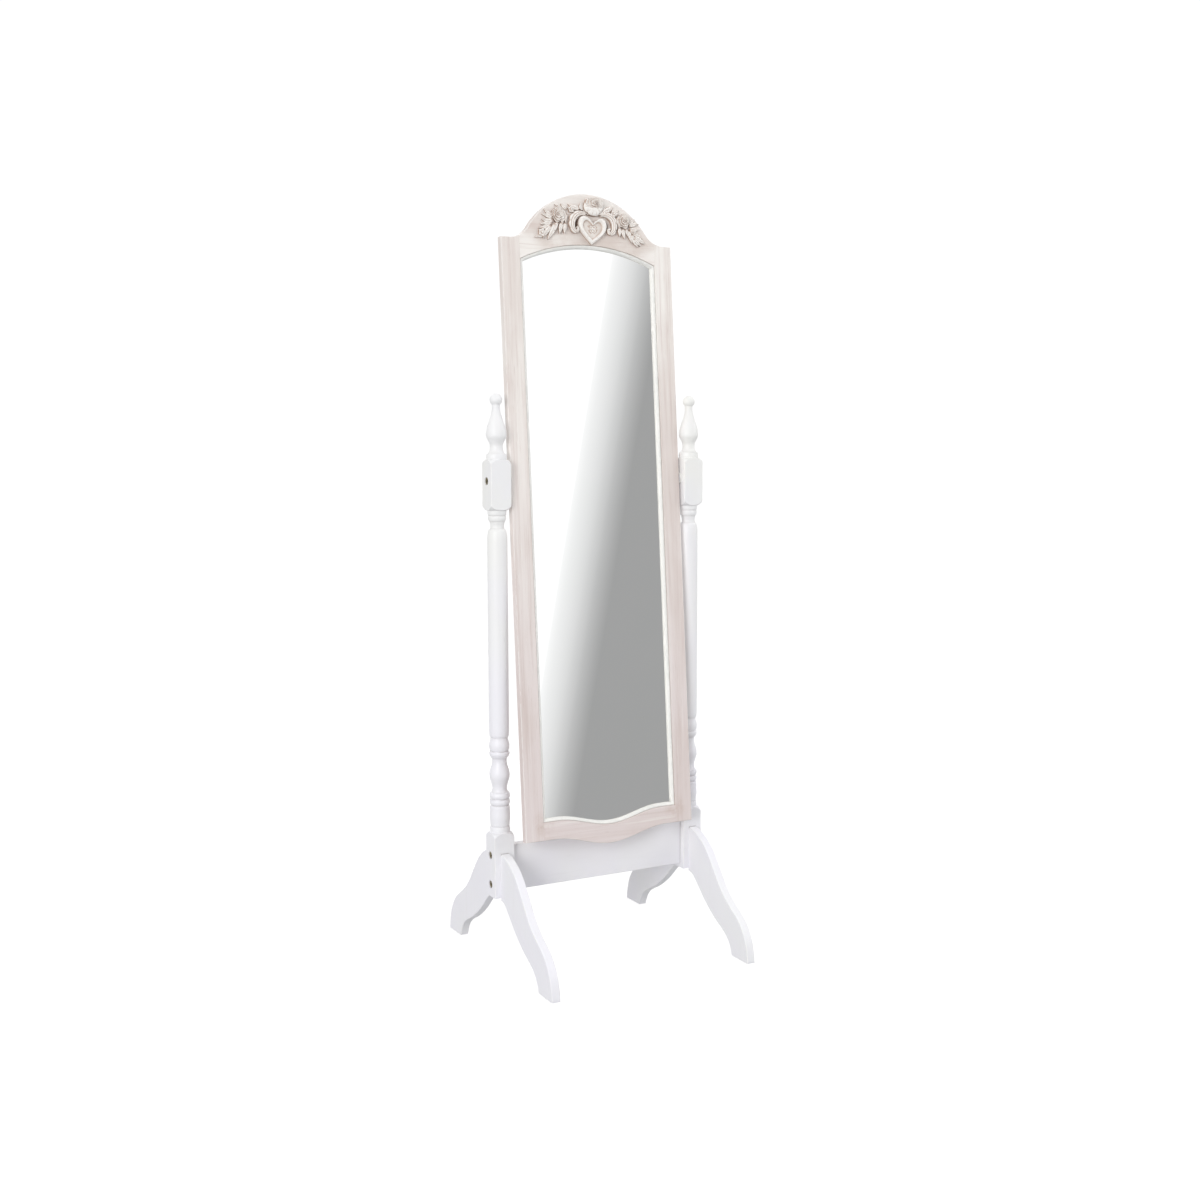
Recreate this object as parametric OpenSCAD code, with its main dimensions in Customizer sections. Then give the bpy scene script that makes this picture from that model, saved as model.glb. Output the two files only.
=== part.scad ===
// Cheval floor mirror: a tall framed glass that tilts between two turned posts.
// Millimetres, +Z up, the glass faces -Y. The origin is on the floor, in the
// middle of the four feet.

/* [Stand] */
// Distance from the centre line to each post's axis
post_x = 221; // [219:1:228]
// Side of the square stock that the posts are turned from
stock = 44; // [42:1:45]
// Diameter of the plain shaft between the turnings
shaft_d = 40; // [36:1:41]
// Thickness of the four leg boards
leg_t = 18; // [15:1:22]
// Distance from the centre line to the tip of each foot
foot_reach = 251; // [235:1:280]
// Length of each foot on the floor
foot_len = 59; // [45:1:65]
// Height of the crotch where the legs meet the block
crotch_z = 135; // [130:1:138]
// Height of the top of each leg where it meets the block
leg_top_z = 232.5; // [226:0.5:238]
// Height of the underside of the stretcher board
stretcher_z = 150; // [146:1:154]
// Height of the stretcher board itself
stretcher_h = 95; // [88:1:96]
// Thickness of the stretcher board
stretcher_t = 18; // [16:1:20]

/* [Mirror frame] */
// Half of the frame's outer width
frame_w = 193.5; // [188:0.5:194]
// Thickness of the frame boards
frame_t = 16; // [15:1:19]
// Width of each stile
stile_w = 40; // [36:1:44]
// Height of the square shoulders above the pivot
shoulder = 479; // [470:1:486]
// Height of the crest above the pivot
crest = 574; // [560:1:582]
// Radius of the round crest
crest_r = 160; // [155:1:168]
// Radius of the cove where crest and shoulder meet
cove_r = 50; // [35:1:55]
// Height of the opening's arched head above the pivot
arch_top = 472; // [464:1:474]
// Radius of the arched head of the opening
arch_r = 360; // [340:5:400]
// Depth of the opening's flat foot corners below the pivot
sill = 685.5; // [680:0.5:688]
// How far the wavy sill dips in the middle
sill_dip = 20.5; // [10:0.5:22]
// Depth of the frame's lower corners below the pivot
foot_edge = 722; // [718:1:724]
// How far the lower edge dips in the middle
edge_dip = 23; // [12:0.5:24]
// Width of the rounded slip moulding round the glass
slip_w = 7.5; // [5:0.5:9]
// Thickness of the glass
glass_t = 3; // [2.5:0.5:3]
// Thickness of the backing board
board_t = 3; // [2:0.5:3]

/* [Pivot] */
// Height of the tilt axis above the floor
pivot_z = 978.3; // [975:0.1:980]
// Backward lean of the frame at rest, in degrees
lean = 4.56; // [2:0.02:8]
// Diameter of the pivot bolts
bolt_d = 6; // [6:1:8]
// Radial running clearance of the pivot bolts in the posts
run = 0.05; // [0.03:0.01:0.09]
// Diameter of the flat bolt heads
head_d = 15; // [13:0.5:15.5]

/* [Hidden] */
$fn = 48;

white = [0.94, 0.94, 0.95];
wash = [0.89, 0.85, 0.82];
cream = [0.93, 0.92, 0.88];
beech = [0.80, 0.66, 0.46];
brass = [0.55, 0.47, 0.30];
steel = [0.72, 0.72, 0.72];

half = stock / 2;              // half of the square stock
inner_x = post_x - half;       // inner face of the blocks
outer_x = post_x + half;       // outer face of the blocks
low_block = [141, 264];        // lower block, full square stock
high_block = [930, 1011.5];    // upper block, full square stock
bolt_z = [166, 226];           // heights of the stretcher bolts
bore_head = 16;                // counterbore for the flat heads
bore_deep = 5;                 // depth of that counterbore
dowel_r = 4;                   // beech dowels, 8 mm
ft = frame_t / 2;              // the pivot lies in the middle of the frame
glass_n = -0.5;                // front of the glass, measured from the pivot
sight_w = frame_w - stile_w;   // half-width of the opening between the stiles
rebate = 8;                    // width of the glass rebate
arch_c = arch_top - arch_r;    // centre of the arched head

// ---------------------------------------------------------------- curves

function arc(c, r, a0, a1, n) =
    [for (i = [0:n]) let (a = a0 + (a1 - a0) * i / n) [c[0] + r * cos(a), c[1] + r * sin(a)]];

// Easings between two stations of a turning:
// 0 straight, 1 soft at both ends, 2 quick then flat, 3 flat then quick,
// 4 flat then straight, 5 straight then flat
function ease(k, t) =
    k == 1 ? (1 - cos(180 * t)) / 2 :
    k == 2 ? sqrt(1 - (1 - t) * (1 - t)) :
    k == 3 ? 1 - sqrt(1 - t * t) :
    k == 4 ? 1 - cos(90 * t) :
    k == 5 ? sin(90 * t) : t;

function turning(s) = concat([[s[0][1], s[0][0]]],
    [for (i = [1:len(s) - 1]) let (n = s[i][2] == 0 ? 1 : s[i][0] - s[i - 1][0] > 15 ? 8 : 5)
        for (j = [1:n]) let (t = j / n)
            [s[i - 1][1] + (s[i][1] - s[i - 1][1]) * ease(s[i][2], t),
             s[i - 1][0] + (s[i][0] - s[i - 1][0]) * t]]);

// Points on a smooth curve through the stations p
function knot(p, i) = p[max(0, min(len(p) - 1, i))];
function spline(p, n) = concat([for (i = [0:len(p) - 2]) for (j = [0:n - 1])
    let (t = j / n, a = knot(p, i - 1), b = knot(p, i), c = knot(p, i + 1), d = knot(p, i + 2))
        0.5 * ((2 * b) + (c - a) * t + (2 * a - 5 * b + 4 * c - d) * t * t
            + (3 * b - a - 3 * c + d) * t * t * t)], [p[len(p) - 1]]);

// ---------------------------------------------------------------- stand

// Stations of the turning: height, radius, easing
r0 = shaft_d / 2;
low_turning = [[262, r0 - 1, 0], [272.5, r0 - 1, 0], [278, r0 + 0.4, 2], [285, 18.4, 3], [286, 18.4, 0],
    [290, 19.6, 2], [304, r0 + 0.6, 1], [322, r0, 1], [327.5, 18, 3], [329.5, 18, 0],
    [335, r0 + 0.5, 2], [340.5, 18, 3], [342, 18, 0], [348, r0 + 0.6, 2], [353.5, 19.4, 1],
    [362.5, 14.7, 2], [390, r0 + 0.4, 1], [418.5, 14.5, 1], [422, 14.8, 1], [430, 19.2, 1],
    [434, r0 + 0.3, 2], [438, 18, 3], [439.5, 18, 0], [450, r0 + 0.4, 2], [466, 17.2, 1],
    [467, 17.2, 0], [474, r0 - 0.3, 2], [480, r0, 1]];
high_turning = [[862, r0, 0], [884, 15, 3], [890, 13.5, 2], [899, 15, 1], [905.5, 18, 2],
    [909.5, 17, 3], [911, 17, 0], [916, 18.8, 2], [919, 18.8, 0], [935, 18.8, 0]];
finial_turning = [[1008, 19.2, 0], [1020.5, 19.2, 0], [1026, r0 + 0.4, 2], [1031, r0 - 0.2, 1],
    [1044, 13, 2], [1047, 13, 0], [1068, r0 + 0.3, 1], [1098, 13.5, 4], [1122, 8.2, 5], [1126.5, 8.2, 0]];

module lathe(p) rotate_extrude($fn = 64) polygon(concat([[0, p[0][1]]], p, [[0, p[len(p) - 1][1]]]));

ease_e = half - 1.5;            // where the eased corners of the stock begin
// Square block with eased corners, its ends turned to a round shoulder
module block(z0, z1, foot) intersection() {
    translate([0, 0, z0 - 12]) linear_extrude(z1 - z0 + 24)
        polygon([for (q = [[1, 1], [-1, 1], [-1, -1], [1, -1]]) for (p = q[0] * q[1] > 0 ? [[half, ease_e], [ease_e, half]] : [[ease_e, half], [half, ease_e]])
            [q[0] * p[0], q[1] * p[1]]]);
    lathe(concat(foot ? [[40, z0]] : [[20, z0 - 9.5], [half, z0 - 8.5], [half + 3, z0 - 6.5], [half + 7.5, z0 - 1.5], [31.5, z0 + 1.5]],
        [[31.5, z1 - 1.5], [half + 7.5, z1 + 1.5], [half + 3, z1 + 6.5], [half, z1 + 8.5], [20, z1 + 9.5]]));
}

// side is -1 on the left and +1 on the right; the bolt heads face outwards
module post(side) color(white) translate([side * post_x, 0, 0]) difference() {
    union() {
        block(low_block[0], low_block[1], true);
        lathe(concat(turning(low_turning), turning(high_turning)));
        block(high_block[0], high_block[1], false);
        lathe(concat(turning(finial_turning), arc([0, 1137], 12.5, -50, 82, 12)));
    }
    // pivot bore with its counterbore
    translate([0, 0, pivot_z]) rotate([0, 90, 0]) cylinder(r = bolt_d / 2 + run, h = stock + 4, center = true);
    translate([side * half, 0, pivot_z]) rotate([0, 90, 0]) cylinder(d = bore_head, h = 2 * bore_deep, center = true);
    // stretcher bolt holes
    for (z = bolt_z) translate([0, 0, z]) rotate([0, 90, 0]) {
        cylinder(r = 3.5, h = stock + 4, center = true);
        translate([0, 0, side * half]) cylinder(d = bore_head, h = 2 * bore_deep, center = true);
    }
    // dowel holes for the two legs
    for (z = dowel_z, y = [-1, 1]) translate([0, y * half, z]) rotate([90, 0, 0]) cylinder(r = dowel_r, h = 33, center = true);
}
dowel_z = [153, 207];

// Outline of a leg: distance from the block's face to the foot, and height
reach = foot_reach - half;
k = reach / 229;
leg_top = spline([[0, leg_top_z], [16, leg_top_z - 3.5], [30, leg_top_z - 9], [48, leg_top_z - 18.5],
    [63, leg_top_z - 29.5], [77, leg_top_z - 43], [90, 174], [102, 159], [115, 142], [130, 125.5],
    [148, 110], [168, 97], [186, 85.5], [201, 72.5], [213, 57], [221.5, 40], [226.5, 22], [229, 6], [229, 0]], 3);
heel = 229 - foot_len / k;
leg_low = spline([[heel, 0], [heel - 5, 13], [heel - 13, 26], [heel - 25, 37.5], [heel - 40, 46.5],
    [112, 55.5], [95, 65.5], [77, 78], [61, 90.5], [45, 105], [30, 119], [16, crotch_z - 4.5],
    [5, crotch_z - 0.5], [0, crotch_z]], 3);

module leg(side, front) color(white)
    translate([side * post_x - leg_t / 2, front * half, 0]) difference() {
        rotate([90, 0, 90]) linear_extrude(leg_t)
            polygon([for (p = concat(leg_top, leg_low)) [front * p[0] * k, p[1]]]);
        for (z = dowel_z) translate([leg_t / 2, 0, z]) rotate([90, 0, 0]) cylinder(r = dowel_r, h = 49, center = true);
    }

module left_post() post(-1);
module right_post() post(1);
module left_front_leg() leg(-1, -1);
module left_rear_leg() leg(-1, 1);
module right_front_leg() leg(1, -1);
module right_rear_leg() leg(1, 1);

nut_x = inner_x - 30;
module stretcher() color(white) difference() {
    translate([-inner_x, -stretcher_t / 2, stretcher_z]) cube([2 * inner_x, stretcher_t, stretcher_h]);
    for (s = [-1, 1], z = bolt_z) translate([s * inner_x, 0, z]) {
        rotate([0, 90, 0]) cylinder(r = 3.5, h = 86, center = true);
        translate([-s * 30, 0, 0]) rotate([90, 0, 0]) translate([0, 0, -stretcher_t / 2 - 1]) cylinder(r = 5, h = stretcher_t - 2);
    }
}

module leg_dowels() color(beech)
    for (s = [-1, 1], y = [-1, 1], z = dowel_z)
        translate([s * post_x, y * (half + 4), z]) rotate([90, 0, 0]) cylinder(r = dowel_r - 0.03, h = 39, center = true);

// Flat round head with a bevelled rim and a hexagon socket; it points along +Z
module furniture_bolt(d, length, head_h) {
    difference() {
        union() {
            rotate_extrude() polygon([[0, 0], [head_d / 2, 0], [head_d / 2, head_h - 0.8], [head_d / 2 - 0.8, head_h], [0, head_h]]);
            translate([0, 0, -length]) cylinder(d = d, h = length + 0.5);
        }
        translate([0, 0, head_h - 2.8]) cylinder(d = 4.6, h = 4, $fn = 6);
    }
}

module stretcher_bolts() color(brass)
    for (s = [-1, 1], z = bolt_z) translate([s * (outer_x - bore_deep), 0, z]) rotate([0, s * 90, 0])
        furniture_bolt(6, 75, 3.8);

module barrel_nuts() color(steel)
    for (s = [-1, 1], z = bolt_z) translate([s * nut_x, 0, z]) difference() {
        rotate([90, 0, 0]) cylinder(r = 4.95, h = 11.6, center = true);
        rotate([0, 90, 0]) cylinder(r = 3.02, h = 12, center = true);
    }

// ---------------------------------------------------------------- pivot

gap = inner_x - frame_w;       // room between block and stile
washer_t = 1.5;
spacer_t = gap - washer_t - 0.35;

module ring(r_out, r_in, h) difference() {
    cylinder(r = r_out, h = h);
    translate([0, 0, -1]) cylinder(r = r_in, h = h + 2);
}

// Fibre spacers lie against the blocks
module pivot_spacers() color([0.3, 0.28, 0.26])
    for (s = [-1, 1]) translate([s * inner_x, 0, pivot_z]) rotate([0, -s * 90, 0]) ring(11, bolt_d / 2 + run, spacer_t);

// ---------------------------------------------------------------- mirror frame

// The frame's own plane: X across, Z up along the frame, -Y to its front
module tilted() translate([0, 0, pivot_z]) rotate([-lean, 0, 0]) children();
module plate(n0, n1) rotate([90, 0, 0]) translate([0, 0, n0]) linear_extrude(n1 - n0) children();

crest_c = crest - crest_r;
cove_x = sqrt((crest_r + cove_r) * (crest_r + cove_r) - (shoulder + cove_r - crest_c) * (shoulder + cove_r - crest_c));
cove_a = atan2(shoulder + cove_r - crest_c, cove_x);

function edge(u) = -foot_edge - (abs(u) < 130 ? edge_dip * (1 + cos(180 * u / 130)) / 2 : 0);
function sill_at(u) = -sill - (abs(u) < 120 ? sill_dip * (1 + cos(180 * u / 120)) / 2 : 0);

// The opening, made o larger all round
function opening(o) = let (h = sight_w + o, a = acos(h / (arch_r + o)))
    concat([[-h, sill_at(-h) - o]], [for (i = [-24:24]) [i * 5, sill_at(i * 5) - o]], [[h, sill_at(h) - o]],
        arc([0, arch_c], arch_r + o, a, 180 - a, 32));

// Crest line from one stile to the other, right to left
cove_in = acos((cove_x - sight_w) / cove_r);
crest_line = concat(arc([cove_x, shoulder + cove_r], cove_r, 180 + cove_in, 180 + cove_a, 8),
    arc([0, crest_c], crest_r, cove_a + 1, 179 - cove_a, 40),
    arc([-cove_x, shoulder + cove_r], cove_r, 360 - cove_a, 360 - cove_in, 8));

frame_dowel_at = [[sight_w, 459.5], [sight_w, 471], [sight_w, -702], [sight_w, -713.5]];
module frame_dowel_holes(s) for (p = frame_dowel_at)
    translate([s * p[0], 0, p[1]]) rotate([0, 90, 0]) cylinder(r = dowel_r, h = 38, center = true);

function arch_at(u, o) = arch_c + sqrt((arch_r + o) * (arch_r + o) - u * u);
rail_u = [for (i = [-30:30]) sight_w * i / 30];

// The rebate for the glass is cut into the back of every member
module stile(side) color(wash) tilted() difference() {
    plate(-ft, ft) polygon([for (p = concat([[sight_w, -foot_edge], [frame_w, -foot_edge], [frame_w, shoulder]],
        arc([cove_x, shoulder + cove_r], cove_r, 270, 180 + cove_in, 7))) [side * p[0], p[1]]]);
    plate(-ft - 1, glass_n) polygon([for (p = concat([for (i = [0:4]) let (u = sight_w - 1 + (rebate + 1) * i / 4) [u, sill_at(u) - rebate]],
        [for (i = [0:8]) let (u = sight_w + rebate - (rebate + 1) * i / 8) [u, arch_at(u, rebate)]])) [side * p[0], p[1]]]);
    frame_dowel_holes(side);
    translate([side * (frame_w - 9), 0, 0]) rotate([0, 90, 0]) cylinder(r = 5, h = 24, center = true);
}
module left_stile() stile(-1);
module right_stile() stile(1);

module top_rail() color(wash) tilted() difference() {
    union() {
        plate(glass_n, ft) polygon(concat(crest_line, [for (u = rail_u) [u, arch_at(u, 0)]]));
        plate(-ft, glass_n) polygon(concat(crest_line, [for (u = rail_u) [u, arch_at(u, rebate)]]));
    }
    for (s = [-1, 1]) frame_dowel_holes(s);
}
module bottom_rail() color(wash) tilted() difference() {
    union() {
        plate(glass_n, ft) polygon(concat([for (u = rail_u) [u, edge(u)]], [for (u = rail_u) [-u, sill_at(u)]]));
        plate(-ft, glass_n) polygon(concat([for (u = rail_u) [u, edge(u)]], [for (u = rail_u) [-u, sill_at(u) - rebate]]));
    }
    for (s = [-1, 1]) frame_dowel_holes(s);
}
module frame_dowels() color(beech) tilted() for (s = [-1, 1], p = frame_dowel_at)
    translate([s * p[0], 0, p[1]]) rotate([0, 90, 0]) cylinder(r = dowel_r - 0.03, h = 36, center = true);

// Slip moulding: a rounded strip from the front of the frame down to the glass.
// Its section lists the distance in from the opening and the height above the pivot plane.
slip_front = ft - 1.5;
slip_section = concat([[0, glass_n], [slip_w, glass_n]],
    [for (a = [0:15:90]) [slip_w * cos(a), glass_n + 1.5 + (slip_front - glass_n - 1.5) * sin(a)]]);

in_w = sight_w - slip_w;
top_out = [sight_w, arch_c + sqrt(arch_r * arch_r - sight_w * sight_w)];
top_in = [in_w, arch_c + sqrt((arch_r - slip_w) * (arch_r - slip_w) - in_w * in_w)];
low_out = [sight_w, sill_at(sight_w)];
low_in = [in_w, sill_at(in_w) + slip_w];
function along(a, b, t) = a + (b - a) * t;

module slip_side(side) color(cream) tilted() intersection() {
    translate([side * sight_w, 0, -800]) linear_extrude(1500)
        polygon([for (p = slip_section) [-side * p[0], -p[1]]]);
    plate(-20, 20) polygon([for (p = [along(low_out, low_in, -1), along(low_out, low_in, 2),
        along(top_out, top_in, 2), along(top_out, top_in, -1)]) [side * p[0], p[1]]]);
}
module slip_left() slip_side(-1);
module slip_right() slip_side(1);

module slip_top() color(cream) tilted() intersection() {
    translate([0, 0, arch_c]) rotate([90, 0, 0]) rotate_extrude($fn = 96)
        polygon([for (p = slip_section) [arch_r - p[0], p[1]]]);
    plate(-20, 20) polygon(concat([for (t = [-4, 4]) along(top_out, top_in, t)],
        [for (t = [4, -4]) let (p = along(top_out, top_in, t)) [-p[0], p[1]]], [[-170, 600], [170, 600]]));
}

// The lower slip follows the wave of the sill
slip_steps = 60;
module slip_bottom() color(cream) tilted() rotate([90, 0, 0]) {
    m = len(slip_section);
    polyhedron(
        points = [for (i = [0:slip_steps]) for (p = slip_section)
            let (u = (2 * i / slip_steps - 1) * (sight_w - p[0])) [u, sill_at(u) + p[0], p[1]]],
        faces = concat([[for (j = [0:m - 1]) j]], [[for (j = [m - 1:-1:0]) slip_steps * m + j]],
            [for (i = [0:slip_steps - 1]) for (j = [0:m - 1]) let (j2 = (j + 1) % m)
                each [[i * m + j, (i + 1) * m + j, (i + 1) * m + j2], [i * m + j, (i + 1) * m + j2, i * m + j2]]]));
}

module mirror_glass() color([0.75, 0.78, 0.8]) tilted() plate(glass_n - glass_t, glass_n) polygon(opening(rebate - 1.5));
module backing_board() color([0.55, 0.42, 0.3]) tilted()
    plate(glass_n - glass_t - board_t, glass_n - glass_t) polygon(opening(rebate - 1.5));

// Steel points pressed into the rebate hold the board
module glazing_points() color(steel) tilted() {
    n = glass_n - glass_t - board_t;
    for (s = [-1, 1], v = [-600, -340, -80, 180, 380]) translate([s * (sight_w + rebate - 2), 0, v]) plate(n - 0.6, n) square([12, 7], center = true);
    for (u = [-80, 80]) translate([u, 0, sill_at(u) - rebate + 2]) plate(n - 0.6, n) square([7, 12], center = true);
    for (u = [-90, 0, 90]) translate([u, 0, arch_c + sqrt((arch_r + rebate) * (arch_r + rebate) - u * u) - 2]) plate(n - 0.6, n) square([7, 12], center = true);
}

module pivot_bolts() color(brass)
    for (s = [-1, 1]) translate([s * (outer_x - bore_deep + 0.35), 0, pivot_z]) rotate([0, s * 90, 0])
        furniture_bolt(bolt_d, 60, 3.6);
module pivot_inserts() color(brass) tilted() for (s = [-1, 1])
    translate([s * frame_w, 0, 0]) rotate([0, -s * 90, 0]) ring(4.97, bolt_d / 2 + 0.02, 18);
module pivot_washers() color(steel) tilted() for (s = [-1, 1])
    translate([s * frame_w, 0, 0]) rotate([0, s * 90, 0]) ring(10, bolt_d / 2 + 0.02, washer_t);

// ---------------------------------------------------------------- carving

// A heart w wide, standing on its tip
function heart(w) = [for (t = [0:6:354]) w / 32 * [16 * sin(t) * sin(t) * sin(t),
    13 * cos(t) - 5 * cos(2 * t) - 2 * cos(3 * t) - cos(4 * t)]];
// A pointed leaf, l long and w wide, along +X
function leaf(l, w) = concat([for (t = [0:0.125:1]) [l * t, w / 2 * sin(180 * pow(t, 0.8))]],
    [for (t = [0.875:-0.125:0.125]) [l * t, -w / 2 * sin(180 * pow(t, 0.8))]]);

// Round flower with a domed front
module blossom(r, h) rotate_extrude($fn = 40) polygon(concat([[0, 0]], [for (a = [0:15:90]) [r * cos(a), 2 + (h - 2) * sin(a)]]));

// Leaves of the right-hand spray: position, direction, length, width
spray = [[[40, 514], 160, 26, 13], [[34, 520], 40, 34, 13], [[50, 508], 250, 22, 12], [[62, 506], 262, 20, 11],
    [[76, 512], 275, 22, 12], [[88, 510], 290, 26, 12], [[96, 508], 318, 34, 14], [[98, 516], 20, 20, 11],
    [[112, 492], 300, 24, 12], [[112, 494], 340, 22, 11], [[44, 530], 20, 24, 12]];

module crest_ornament() color(cream) tilted() translate([0, -ft, 0]) rotate([90, 0, 0]) union() {
    translate([2, 507, 0]) linear_extrude(11) polygon(heart(56));
    translate([0, 549, 0]) blossom(21, 15);
    for (s = [-1, 1]) {
        translate([s * 77, 525, 0]) blossom(16, 12);
        translate([s * 46, 512, 0]) cylinder(r = 18, h = 6);
        translate([s * 62, 518, 0]) cylinder(r = 13, h = 5);
        translate([s * 98, 506, 0]) cylinder(r = 13, h = 5);
        translate([s * 26, 530, 0]) cylinder(r = 16, h = 6);
        for (l = spray) translate([s * l[0][0], l[0][1], 0]) rotate(s > 0 ? l[1] : 180 - l[1])
            linear_extrude(6.5) polygon(leaf(l[2], l[3]));
    }
}

left_post();
right_post();
left_front_leg();
left_rear_leg();
right_front_leg();
right_rear_leg();
stretcher();
leg_dowels();
stretcher_bolts();
barrel_nuts();
pivot_spacers();
left_stile();
right_stile();
top_rail();
bottom_rail();
frame_dowels();
slip_left();
slip_right();
slip_top();
slip_bottom();
mirror_glass();
backing_board();
glazing_points();
crest_ornament();
pivot_bolts();
pivot_inserts();
pivot_washers();
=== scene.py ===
import math
import random

import bmesh
import bpy
import numpy as np
from mathutils import Matrix, Vector
from mathutils.bvhtree import BVHTree


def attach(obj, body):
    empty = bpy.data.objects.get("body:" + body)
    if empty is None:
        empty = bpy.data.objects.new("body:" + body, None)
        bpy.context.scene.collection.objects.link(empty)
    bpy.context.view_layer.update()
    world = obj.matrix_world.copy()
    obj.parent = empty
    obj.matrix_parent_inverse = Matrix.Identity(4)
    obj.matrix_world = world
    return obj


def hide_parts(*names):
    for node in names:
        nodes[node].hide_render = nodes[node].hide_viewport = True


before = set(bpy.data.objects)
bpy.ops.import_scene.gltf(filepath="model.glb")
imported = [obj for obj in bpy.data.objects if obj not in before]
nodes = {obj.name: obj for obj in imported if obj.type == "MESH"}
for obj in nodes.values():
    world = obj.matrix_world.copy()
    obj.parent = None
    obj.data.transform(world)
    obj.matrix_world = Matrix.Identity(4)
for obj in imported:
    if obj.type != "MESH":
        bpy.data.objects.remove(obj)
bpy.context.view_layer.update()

random.seed(7)
MM = 0.001
scene = bpy.context.scene

# ------------------------------------------------------------------ design dimensions, mm
POST_X, HALF, PIVOT_Z, LEAN = 221.0, 22.0, 978.3, math.radians(4.56)
INNER_X, OUTER_X = POST_X - HALF, POST_X + HALF
FRAME_W, STILE_W, FT = 193.5, 40.0, 8.0
SIGHT = FRAME_W - STILE_W
GLASS_N, GLASS_T, BOARD_T, REBATE = -0.5, 3.0, 3.0, 8.0
SHOULDER, CREST, CREST_R, COVE_R = 479.0, 574.0, 160.0, 50.0
ARCH_TOP, ARCH_R = 472.0, 360.0
SILL, SILL_DIP, FOOT_EDGE, EDGE_DIP, SLIP_W = 685.5, 20.5, 722.0, 23.0, 7.5
ARCH_C, CREST_C = ARCH_TOP - ARCH_R, CREST - CREST_R
BOLT_Z = (166.0, 226.0)

# the mirror's own frame: x across, -y out of its front, z up along it
TILT = Matrix.Translation((0, 0, PIVOT_Z * MM)) @ Matrix.Rotation(-LEAN, 4, "X")


# ------------------------------------------------------------------ material kit
def lin(c):
    return tuple(((v / 255 + 0.055) / 1.055) ** 2.4 if v > 10 else v / 255 / 12.92 for v in c)


class Mat:
    def __init__(self, name):
        self.m = bpy.data.materials.new(name)
        self.m.use_nodes = True
        self.t = self.m.node_tree
        self.t.nodes.clear()
        self.out = self.t.nodes.new("ShaderNodeOutputMaterial")
        self.b = self.t.nodes.new("ShaderNodeBsdfPrincipled")
        self.t.links.new(self.b.outputs[0], self.out.inputs[0])
        self.tc = self.t.nodes.new("ShaderNodeTexCoord").outputs["Object"]

    def put(self, socket, v):
        if isinstance(v, bpy.types.NodeSocket):
            self.t.links.new(v, socket)
        elif v is not None:
            socket.default_value = v

    def coord(self, scale=(1, 1, 1), rot=(0, 0, 0), loc=(0, 0, 0)):
        n = self.t.nodes.new("ShaderNodeMapping")
        n.vector_type = "POINT"
        n.inputs["Scale"].default_value = scale
        n.inputs["Rotation"].default_value = rot
        n.inputs["Location"].default_value = loc
        self.put(n.inputs["Vector"], self.tc)
        return n.outputs[0]

    def noise(self, vec, scale, detail=4.0, rough=0.5, distort=0.0):
        n = self.t.nodes.new("ShaderNodeTexNoise")
        self.put(n.inputs["Vector"], vec)
        n.inputs["Scale"].default_value = scale
        n.inputs["Detail"].default_value = detail
        n.inputs["Roughness"].default_value = rough
        n.inputs["Distortion"].default_value = distort
        return n.outputs["Fac"]

    def math(self, op, a, b=0.0, c=None, clamp=False):
        n = self.t.nodes.new("ShaderNodeMath")
        n.operation = op
        n.use_clamp = clamp
        self.put(n.inputs[0], a)
        self.put(n.inputs[1], b)
        if c is not None:
            self.put(n.inputs[2], c)
        return n.outputs[0]

    def span(self, v, a, b, lo=0.0, hi=1.0):
        n = self.t.nodes.new("ShaderNodeMapRange")
        n.interpolation_type = "SMOOTHSTEP"
        self.put(n.inputs["Value"], v)
        n.inputs["From Min"].default_value = a
        n.inputs["From Max"].default_value = b
        n.inputs["To Min"].default_value = lo
        n.inputs["To Max"].default_value = hi
        return n.outputs["Result"]

    def mix(self, fac, a, b, blend="MIX"):
        n = self.t.nodes.new("ShaderNodeMix")
        n.data_type = "RGBA"
        n.blend_type = blend
        self.put(n.inputs[0], fac)
        for s, v in ((n.inputs[6], a), (n.inputs[7], b)):
            if isinstance(v, tuple):
                v = (*v[:3], 1.0)
            self.put(s, v)
        return n.outputs[2]

    def attr(self, name):
        n = self.t.nodes.new("ShaderNodeAttribute")
        n.attribute_name = name
        return n.outputs["Fac"]

    def xyz(self, vec=None):
        n = self.t.nodes.new("ShaderNodeSeparateXYZ")
        self.put(n.inputs[0], vec or self.tc)
        return n.outputs

    def bump(self, height, strength, distance, normal=None):
        n = self.t.nodes.new("ShaderNodeBump")
        n.inputs["Strength"].default_value = strength
        n.inputs["Distance"].default_value = distance
        self.put(n.inputs["Height"], height)
        if normal is not None:
            self.put(n.inputs["Normal"], normal)
        return n.outputs[0]

    def done(self, color=None, rough=None, normal=None, **kw):
        if isinstance(color, tuple):
            color = (*color[:3], 1.0)
        self.put(self.b.inputs["Base Color"], color)
        self.put(self.b.inputs["Roughness"], rough)
        if normal is not None:
            self.put(self.b.inputs["Normal"], normal)
        for k, v in kw.items():
            self.b.inputs[k.replace("_", " ")].default_value = v
        return self.m


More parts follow.
